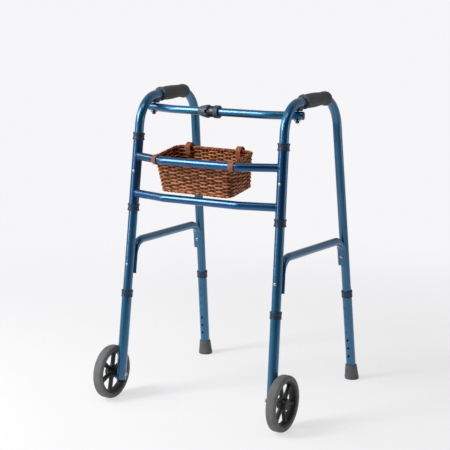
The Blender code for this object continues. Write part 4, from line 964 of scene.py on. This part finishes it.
leftInner, rightInner = makeClasp()
makeHalfBar(sides[-1], leftInner, "top_bar_left")
makeHalfBar(sides[1], rightInner, "top_bar_right")
for side in sides.values():
    makePivot(side)
print("top bar and clasp made")


basket = {
    "rim": (0.2570, 0.1250), "base": (0.2310, 0.1220), "tall": 0.1017, "wall": 0.0048, "corner": 0.0220,
    "origin": (-0.0395, -0.16470, 0.69399), "tilt": 8.8, "yaw": -3.0,   # top of the front wall, in its middle
    "stakes": 28, "stakeSize": (0.0042, 0.0011), "stakeZ": (-0.098, -0.075, -0.05, -0.025, -0.005),
    "courses": 17, "perStake": 8, "sway": 0.0019, "flatter": 0.3, "rodTall": 0.0025, "rodThick": 0.0017,
    "lowCourses": 2, "lowSway": 0.55,   # the lowest courses lie flatter against the border
    "drift": (0.0003, 31), "swell": 0.0004,   # a course's rise and fall, and how much taller a rod is where it shows
    "rimRoll": 0.0050, "floor": 0.0045, "stripZ": (-0.097, -0.006), "stripHalf": 0.0004,
    # strands, radius of their helix, their own radius and the turns of the rods twisted on the rim and round the base
    "rimTwist": (3, 0.0024, 0.0026, 24), "baseTwist": (2, 0.0012, 0.0020, 28), "baseZ": -0.0985,
    "twistSteps": 12, "twistOval": 0.92,
    # the cut ends: place and rise of each step beside a stake, then how far out they start and bulge
    "endZ": -0.0975, "endSize": (0.0019, 0.0013), "endFrom": 0.30, "endStep": (0.10, 0.0006),
    "endOut": (0.0008, 0.0022),
    "matZ": -0.0993, "matInset": 0.0050, "matMargin": 0.0080, "matEdge": 0.0025, "matRibs": 13, "matRods": 24,
    "ribSize": (0.0018, 0.0010), "matSize": (0.0027, 0.0010), "matWave": 0.0011,
}
rodTonesAndPaintedLight = {   # ranges from dark to pale for each kind of rod, and what lightens or darkens it along its length
    # stake: partly the stakes' own darker tone, partly painted shade of the recesses where they show; strip: painted
    # shade, the rods' shadow in the wall
    "stake": (0.04, 0.20), "strip": -0.40, "course": (0.12, 0.34), "twist": (0.1, 0.5), "end": (0.62, 0.95),
    # matWave: painted highlight where a mat rod rises over a rib, painted shade where it dips; inside: painted light on
    # the rods' inner faces
    "rib": (-0.3, 0.0), "mat": (0.0, 0.35), "matWave": 0.15, "patches": ((0.10, 47), (0.07, 113)), "inside": 0.14,
    # proud: painted highlight where a course stands proud; behind: painted shade where it goes behind a stake; seam:
    # painted shade between two rods
    "proud": 0.22, "behind": (0.26, 0.42), "seam": 0.30,
}
basketPose = (Matrix.Translation(basket["origin"]) @ Matrix.Rotation(math.radians(basket["yaw"]), 4, "Z")
              @ Matrix.Rotation(math.radians(basket["tilt"]), 4, "X"))


def barAt(points, x):
    for first, second in zip(points, points[1:]):
        if first.x <= x <= second.x:
            return first.lerp(second, (x - first.x) / (second.x - first.x)), (second - first).normalized()
    return points[-1], sideAxis


def wallAt(share, z):
    # middle of the wall and its outward direction, at a share of the way round and a height
    up = (z + basket["tall"]) / basket["tall"]
    wide = basket["base"][0] + (basket["rim"][0] - basket["base"][0]) * up - basket["wall"]
    deep = basket["base"][1] + (basket["rim"][1] - basket["base"][1]) * up - basket["wall"]
    radius = basket["corner"] - basket["wall"] / 2
    runX, runY, arc = wide - 2 * radius, deep - 2 * radius, radius * math.pi / 2
    run = (share % 1.0) * 2 * (runX + runY + 2 * arc)
    middle = Vector((0, basket["rim"][1] / 2, z))
    for quarter, straight in enumerate((runX, runY, runX, runY)):
        out = Matrix.Rotation(math.pi / 2 * (quarter - 1), 3, "Z") @ sideAxis
        onward = Vector((-out.y, out.x, 0))
        away = (runY, runX)[quarter % 2] / 2 + radius
        if run <= straight:
            return middle + out * away + onward * (run - straight / 2), out
        run -= straight
        if run <= arc:
            turned = Matrix.Rotation(run / radius, 3, "Z") @ out
            return middle + out * (away - radius) + onward * straight / 2 + turned * radius, turned
        run -= arc
    return wallAt(0.0, z)


def rodInto(bm, points, normals, tall, thick, tones, toneAndLightLayer, closed=False, sides=8):
    # A rod of oval section along points, its flat side toward the normals. Tones follow the points, as one value
    # or as one for the outer and one for the inner face, and the rod's upper and lower edges are a little darker,
    # painted shade between two rods.
    rows, angles = [], turnSteps(sides)
    for index, (point, out) in enumerate(zip(points, normals)):
        tangent = tangentAt(points, index, closed)
        out = squareTo(tangent, out).normalized()
        across = tangent.cross(out) * (tall[index] if isinstance(tall, list) else tall)
        rows.append([basketPose @ (point + out * thick * math.cos(angle) + across * math.sin(angle))
                     for angle in angles])
    for index, row in enumerate(ringsInto(bm, rows, loop=closed, capped=not closed)):
        tone = tones[index] if isinstance(tones, list) else tones
        outer, inner = tone if isinstance(tone, tuple) else (tone, tone)
        for angle, vert in zip(angles, row):
            # painted shade along the rod's upper and lower edges, where it meets the next rod
            shade = rodTonesAndPaintedLight["seam"] * abs(math.sin(angle)) ** 3
            vert[toneAndLightLayer] = (outer + inner + (outer - inner) * math.cos(angle)) / 2 - shade


def twistInto(bm, z, strands, helix, radius, turns, toneAndLightLayer, rand):
    # strands twisted round a closed line through the wall's top or bottom edge
    steps = turns * basket["twistSteps"]
    for strand in range(strands):
        points, normals = [], []
        for index in range(steps):
            share = index / steps
            at, out = wallAt(share, z)
            angle = 2 * math.pi * (share * turns + strand / strands)
            normals.append(out * math.cos(angle) + upAxis * math.sin(angle))
            points.append(at + normals[-1] * helix)
        rodInto(bm, points, normals, radius, radius * basket["twistOval"], rand.uniform(*rodTonesAndPaintedLight["twist"]),
                toneAndLightLayer, closed=True)


def courseHeight(course):
    low, high = basket["floor"] - basket["tall"], -2 * basket["rimRoll"]
    return low + (high - low) * (course + 0.5) / basket["courses"]


def weaveWalls(bm, toneAndLightLayer, rand):
    stakes, perStake = basket["stakes"], basket["perStake"]
    # the stakes' darker tone is partly their own and partly painted shade of the recesses where they show
    for index in range(stakes):
        places = [wallAt((index + 0.5) / stakes, z) for z in basket["stakeZ"]]
        rodInto(bm, *zip(*places), *basket["stakeSize"], rand.uniform(*rodTonesAndPaintedLight["stake"]), toneAndLightLayer)
    # thin strips in the middle of the wall, painted dark as the rods' shadow, close what the stakes leave open
    strips, (low, high), half = [], basket["stripZ"], basket["stripHalf"]
    for z, off in ((low, half), (high, half), (high, -half), (low, -half)):
        around = [wallAt(index / (stakes * 4), z) for index in range(stakes * 4)]
        strips.append([basketPose @ (at + out * off) for at, out in around])
    for row in ringsInto(bm, strips, loop=True):
        for vert in row:
            vert[toneAndLightLayer] = rodTonesAndPaintedLight["strip"]
    (broad, slow), (fine, quick) = rodTonesAndPaintedLight["patches"]
    light, (shade, deep) = rodTonesAndPaintedLight["proud"], rodTonesAndPaintedLight["behind"]
    drift, waves = basket["drift"]
    for course in range(basket["courses"]):
        z = courseHeight(course)
        tight = basket["lowSway"] if course < basket["lowCourses"] else 1.0
        points, normals, talls, tones = [], [], [], []
        wander, tone = rand.uniform(0, 6.28), rand.uniform(*rodTonesAndPaintedLight["course"])
        for step in range(stakes * perStake):
            share = step / (stakes * perStake)
            wave = -math.cos(math.pi * (share * stakes - 0.5 + course))
            full = wave * (1 + basket["flatter"] - basket["flatter"] * wave * wave) * tight
            at, out = wallAt(share, z + drift * math.sin(share * waves + wander))
            points.append(at + out * basket["sway"] * full)
            normals.append(out)
            talls.append(basket["rodTall"] + basket["swell"] * wave)
            patch = broad * math.sin(share * slow + wander * 3) + fine * math.sin(share * quick + course)
            # lighter with painted highlight where a rod stands proud, darker with painted shade where it goes behind a
            # stake
            outer, inner = [light * max(proud, 0) - (shade * max(-proud, 0) + deep * max(-proud, 0) ** 6) * tight
                            for proud in (wave, -wave)]
            # the inner face is painted lighter as well: painted light
            tones.append((tone + patch + outer, tone + patch + inner + rodTonesAndPaintedLight["inside"]))
        rodInto(bm, points, normals, talls, basket["rodThick"], tones, toneAndLightLayer, closed=True)


def borderEnds(bm, toneAndLightLayer, rand):
    # pale cut ends of the stakes, turned over the base border, one beside each stake
    (onward, rise), (near, bulge) = basket["endStep"], basket["endOut"]
    for index in range(basket["stakes"]):
        points, normals = [], []
        for step in range(5):
            lift = math.sin(math.pi * step / 4)
            share = (index + basket["endFrom"] + onward * step) / basket["stakes"]
            at, out = wallAt(share, basket["endZ"] + rise * step)
            points.append(at + out * (near + bulge * lift))
            normals.append(out)
        rodInto(bm, points, normals, *basket["endSize"], rand.uniform(*rodTonesAndPaintedLight["end"]), toneAndLightLayer)


def weaveFloor(bm, toneAndLightLayer, rand):
    # A flat woven mat: rods along the width, over and under ribs along the depth.
    inset, margin, ribs, rods = basket["matInset"], basket["matMargin"], basket["matRibs"], basket["matRods"]
    halfX, halfY = basket["base"][0] / 2 - inset, basket["base"][1] / 2 - inset
    radius, pitch, edge = basket["corner"] - inset, 2 * (halfX - margin) / (ribs - 1), basket["matEdge"]
    middle = Vector((0, basket["rim"][1] / 2, basket["matZ"]))

    def reach(along, limit, other):
        # half length of a line across a rounded rectangle
        into = abs(along) - (limit - radius)
        return other if into <= 0 else other - radius + math.sqrt(max(0.0, radius ** 2 - into ** 2))

    for index in range(ribs):
        x = margin - halfX + pitch * index
        span = reach(x, halfX, halfY)
        rodInto(bm, [middle + Vector((x, -span, 0)), middle + Vector((x, span, 0))], [upAxis] * 2,
                *basket["ribSize"], rand.uniform(*rodTonesAndPaintedLight["rib"]), toneAndLightLayer, sides=6)
    for row in range(rods):
        y = -halfY + edge + (2 * halfY - 2 * edge) * row / (rods - 1)
        span = reach(y, halfY, halfX)
        points, tones, tone = [], [], rand.uniform(*rodTonesAndPaintedLight["mat"])
        steps = max(8, int(2 * span / pitch * 6))
        for step in range(steps + 1):
            x = -span + 2 * span * step / steps
            wave = math.cos(math.pi * (x + halfX - margin) / pitch + math.pi * row)
            points.append(middle + Vector((x, y, basket["matWave"] * wave)))
            # painted highlight where the rod rises over a rib, painted shade where it dips under one
            tones.append(tone + rodTonesAndPaintedLight["matWave"] * wave)
        rodInto(bm, points, [upAxis] * len(points), *basket["matSize"], tones, toneAndLightLayer, sides=6)


def makeBasket():
    rand = random.Random(11)
    bm = bmesh.new()
    toneAndLightLayer = bm.verts.layers.float.new("rodTone")
    weaveWalls(bm, toneAndLightLayer, rand)
    weaveFloor(bm, toneAndLightLayer, rand)
    borderEnds(bm, toneAndLightLayer, rand)
    twistInto(bm, -basket["rimRoll"], *basket["rimTwist"], toneAndLightLayer, rand)
    twistInto(bm, basket["baseZ"], *basket["baseTwist"], toneAndLightLayer, rand)
    settle(finishPiece("wickerBasket", bm, varnishedWillow, sharpFrom=70), rootBody, "basket", slot="wicker")


makeBasket()
print("basket woven")


strap = {
    "thick": 0.0024, "wide": 0.0165, "front": ((-1, -0.1385, 14.0), (1, 0.1025, 42.0)),   # side, x, degrees outward
    "soft": 0.0007, "edgeLine": (0.0032, 0.0038), "crown": 0.0002, "facet": 0.0025,
    "rearX": (-0.1240, 0.0420), "rearUp": 0.0062, "rearDown": 0.0300, "rearTurn": 0.0112,
    "stitchPitch": 0.0034, "stitchLong": 0.0022, "stitchInset": 0.0022, "thread": 0.00042,
    "stitchUp": 0.0001, "stitchDip": 0.0003, "stitchCrown": 0.6,   # a stitch's ends dip into the leather
    "edgeFaces": ((3, 4), (0, 12)),   # corners of the section that the burnished edges lie between
}


def tautLoop(near, far, steps=20):
    # A band drawn tight round two rods, each given as its frame and radius: points, outward and cross directions.
    (nearPose, nearRadius), (farPose, farRadius) = near, far
    step = nearPose.inverted() @ farPose.translation
    way = math.atan2(step.z, math.hypot(step.x, step.y))
    opening = math.acos((nearRadius - farRadius) / step.length)
    found = []
    for pose, radius, start, end in ((nearPose, nearRadius, way + opening, way + 2 * math.pi - opening),
                                     (farPose, farRadius, way - opening, way + opening)):
        turn = pose.to_3x3()
        for index in range(steps + 1):
            angle = start + (end - start) * index / steps
            out = turn @ Vector((0, math.cos(angle), math.sin(angle)))
            found.append((pose.translation + out * radius, out, turn @ sideAxis))
    filled = []
    for here, after in zip(found, found[1:] + found[:1]):
        pieces = max(1, math.ceil((after[0] - here[0]).length / strap["facet"]))
        for index in range(pieces):
            at, out, across = [first.lerp(second, index / pieces) for first, second in zip(here, after)]
            filled.append((at, out.normalized(), across.normalized()))
    return filled


def strapSection():
    # across the width and out from the inner face, with softened edges and a slightly raised middle
    half, thick, soft, crown = strap["wide"] / 2, strap["thick"], strap["soft"], strap["crown"]
    near, far = strap["edgeLine"]
    return [(-half, soft), (soft - half, 0), (half - soft, 0), (half, soft), (half, thick - soft), (half - soft, thick),
            (half - near, thick), (half - far, thick + crown / 2), (0, thick + crown), (far - half, thick + crown / 2),
            (near - half, thick), (soft - half, thick), (-half, thick - soft)]


def makeStrap(name, near, far, node):
    # a leather band with burnished edges and a row of stitches along each edge
    loop = tautLoop(near, far)
    section = strapSection()
    bm = bmesh.new()
    made = ringsInto(bm, [[at + across * x + out * lift for x, lift in section] for at, out, across in loop], loop=True)
    edgePairs = {frozenset(pair) for pair in strap["edgeFaces"]}
    index = {vert: spot for row in made for spot, vert in enumerate(row)}
    for face in bm.faces:
        if frozenset(index[vert] for vert in face.verts) in edgePairs:
            face.material_index = 1
    addStitches(bm, loop)
    settle(finishPiece(name, bm, strapLeather, burnishedEdge, linenThread, sharpFrom=55), rootBody, node)


def addStitches(bm, loop):
    ends = loop[1:] + loop[:1]
    lengths = runsAlong([at for at, _, _ in loop + loop[:1]])
    count = int(lengths[-1] / strap["stitchPitch"])
    for number in range(count):
        run = lengths[-1] * (number + 0.5) / count
        spot = next(i for i in range(len(loop)) if lengths[i + 1] >= run)
        at, out, across = loop[spot]
        half, dip = (ends[spot][0] - at).normalized() * strap["stitchLong"] / 2, out * strap["stitchDip"]
        above, aside = out * (strap["thick"] + strap["stitchUp"]), strap["wide"] / 2 - strap["stitchInset"]
        for edge in (-1, 1):
            middle = at + above + across * edge * aside
            first, second = middle - half, middle + half
            crown = [first.lerp(second, share) + dip * strap["stitchCrown"] for share in (0.25, 0.75)]
            path = [first - dip, *crown, second - dip]
            ringsInto(bm, [circleRing(one, strap["thread"], sides=6) for one in pathFrames(path)], slot=2,
                      capped=True)


def rodFrame(at, direction, up):
    # on a rod: local X along it, local Y toward the basket and local Z up
    x = direction.normalized()
    y = up.cross(x).normalized()
    return Matrix.Translation(at) @ Matrix((x, y, x.cross(y))).transposed().to_4x4()


def makeStraps():
    turn, radius = basketPose.to_3x3(), basket["corner"] - basket["wall"] / 2
    for sign, x, degrees in strap["front"]:
        at, way = barAt(upperPath, x)
        angle = math.radians(degrees)
        out = Vector((sign * math.sin(angle), -math.cos(angle), 0))
        corner = Vector((sign * (basket["rim"][0] / 2 - basket["corner"]), basket["corner"], -basket["rimRoll"]))
        far = rodFrame(basketPose @ (corner + out * radius), turn @ Vector((-out.y, out.x, 0)), turn @ upAxis)
        makeStrap(f"frontStrap.{sideNames[sign]}", (rodFrame(at, way, upAxis), tubes["barRadius"] + looseGap),
                  (far, basket["rimRoll"] + looseGap), f"front_strap_{sideNames[sign]}")
    wall = basket["rim"][1] - basket["wall"] / 2
    levels = (strap["rearTurn"] - strap["rearDown"], strap["rearUp"] - strap["rearTurn"])
    for name, x in zip(("left", "right"), strap["rearX"]):
        rods = [(basketPose @ rodFrame(Vector((x - basket["origin"][0], wall, z)), sideAxis, upAxis),
                 strap["rearTurn"]) for z in levels]
        makeStrap(f"rearLoop.{name}", *rods, f"rear_loop_{name}")


makeStraps()
print("straps made")


studio = {
    "backdrop": "#f6f5f8", "floorShade": 0.96, "floorWhite": "#fffeff", "floorGlow": 0.62, "floorRadius": 9.0,
    "fade": (0.65, 2.2), "fill": 0.26, "front": 0.02, "rear": 0.45, "darkest": (46.0, 36.0), "darkSpan": (0.97, 0.30),
    "camera": (1.6759, -2.9813, 1.1843), "azimuth": 29.73, "elevation": 11.49, "lens": 98.96,
    "floorZ": -0.0004, "lampAim": (0, 0, 0.45),   # the paper lies just under the feet
}
lamps = {   # azimuth is measured from the front toward +X, in degrees
    "key": {"azimuth": -37, "elevation": 35, "distance": 3.2, "size": (0.8, 1.9), "power": 67},
    "side": {"azimuth": -46, "elevation": 7, "distance": 3.0, "size": (0.7, 1.1), "power": 11},   # low, for the legs
    "strip": {"azimuth": -66, "elevation": 29, "distance": 3.0, "size": (2.0, 0.5), "power": 17},
    "rim": {"azimuth": 116, "elevation": 5, "distance": 3.0, "size": (0.8, 1.2), "power": 7},
    "top": {"azimuth": 5, "elevation": 66, "distance": 3.0, "size": (2.2, 0.7), "power": 12},
}


def aimed(azimuth, elevation, distance, target):
    a, e = math.radians(azimuth), math.radians(elevation)
    way = Vector((math.sin(a) * math.cos(e), -math.cos(a) * math.cos(e), math.sin(e)))
    return Matrix.Translation(target + way * distance) @ way.to_track_quat("Z", "Y").to_matrix().to_4x4()


def makeLamps():
    target = Vector(studio["lampAim"])
    for name, look in lamps.items():
        lamp = bpy.data.lights.new(name, "AREA")
        lamp.shape = "RECTANGLE"
        lamp.size, lamp.size_y = look["size"]
        lamp.energy = look["power"]
        addObject(name, lamp).matrix_world = aimed(look["azimuth"], look["elevation"], look["distance"], target)


def raysOf(tree, *kinds):
    # 1 for rays of any of these kinds
    rays = addNode(tree, "ShaderNodeLightPath").node
    share = rays.outputs[kinds[0]]
    for kind in kinds[1:]:
        share = addNode(tree, "ShaderNodeMath", {0: share, 1: rays.outputs[kind]}, operation="MAXIMUM")
    return share


def makeFloor():
    # A pale sweep that fades into the backdrop far from the walker.
    bm = bmesh.new()
    bmesh.ops.create_circle(bm, cap_ends=True, segments=96, radius=studio["floorRadius"])
    made, tree, _ = newMaterial("paperSweep", {})
    floor = addMesh("studioFloor", bm, made)
    floor.location.z = studio["floorZ"]
    tree.nodes.clear()
    shade = studio["floorShade"]
    paper = addNode(tree, "ShaderNodeBsdfDiffuse", {"Color": (shade, shade, shade * 1.01, 1)})
    # the camera and reflections see part of the backdrop's own white in the paper; shadows stay in the rest
    glow = addNode(tree, "ShaderNodeEmission", {"Color": fromHex(studio["floorWhite"]), "Strength": 1.0})
    seen = raysOf(tree, "Is Camera Ray", "Is Glossy Ray", "Is Transmission Ray")
    lift = addNode(tree, "ShaderNodeMath", {0: seen, 1: studio["floorGlow"]}, operation="MULTIPLY")
    lit = addNode(tree, "ShaderNodeMixShader", {0: lift, 1: paper, 2: glow})
    place = addNode(tree, "ShaderNodeTexCoord", out="Object")
    far = addNode(tree, "ShaderNodeVectorMath", {0: place}, "Value", operation="LENGTH")
    near, away = studio["fade"]
    fade = addNode(tree, "ShaderNodeMapRange", {"Value": far, "From Min": near, "From Max": away},
                   interpolation_type="SMOOTHSTEP")
    clear = addNode(tree, "ShaderNodeBsdfTransparent")
    mixed = addNode(tree, "ShaderNodeMixShader", {0: fade, 1: lit, 2: clear})
    addNode(tree, "ShaderNodeOutputMaterial", {"Surface": mixed})


def makeWorld():
    # White backdrop for the camera; for reflections it is white behind and dark in front, like a studio.
    world = bpy.data.worlds.new("studioWorld")
    bpy.context.scene.world = world
    world.use_nodes = True
    tree = world.node_tree
    tree.nodes.clear()
    place = addNode(tree, "ShaderNodeTexCoord", out="Generated")
    dark = aimed(*studio["darkest"], 1.0, Vector((0, 0, 0))).translation
    facing = addNode(tree, "ShaderNodeVectorMath", {0: place, 1: tuple(dark)}, "Value", operation="DOT_PRODUCT")
    near, away = studio["darkSpan"]
    grey = addNode(tree, "ShaderNodeMapRange", {"Value": facing, "From Min": near, "From Max": away,
                                                "To Min": studio["front"], "To Max": studio["rear"]},
                   interpolation_type="SMOOTHSTEP")
    seen, mirrored, filling = [
        addNode(tree, "ShaderNodeBackground", {"Color": fromHex(studio["backdrop"]), "Strength": strength})
        for strength in (1.0, grey, studio["fill"])]
    glossy = addNode(tree, "ShaderNodeMixShader", {0: raysOf(tree, "Is Glossy Ray"), 1: filling, 2: mirrored})
    direct = raysOf(tree, "Is Camera Ray", "Is Transmission Ray")
    both = addNode(tree, "ShaderNodeMixShader", {0: direct, 1: glossy, 2: seen})
    addNode(tree, "ShaderNodeOutputWorld", {"Surface": both})


def makeCamera():
    lens = bpy.data.cameras.new("camera")
    lens.lens, lens.sensor_width, lens.clip_end = studio["lens"], 36.0, 100
    holder = addObject("camera", lens)
    turn = aimed(studio["azimuth"], studio["elevation"], 0.0, Vector((0, 0, 0)))
    holder.matrix_world = Matrix.Translation(studio["camera"]) @ turn
    bpy.context.scene.camera = holder


makeLamps()
makeFloor()
makeWorld()
makeCamera()
bpy.context.scene.view_settings.view_transform = "Standard"
print("studio ready")
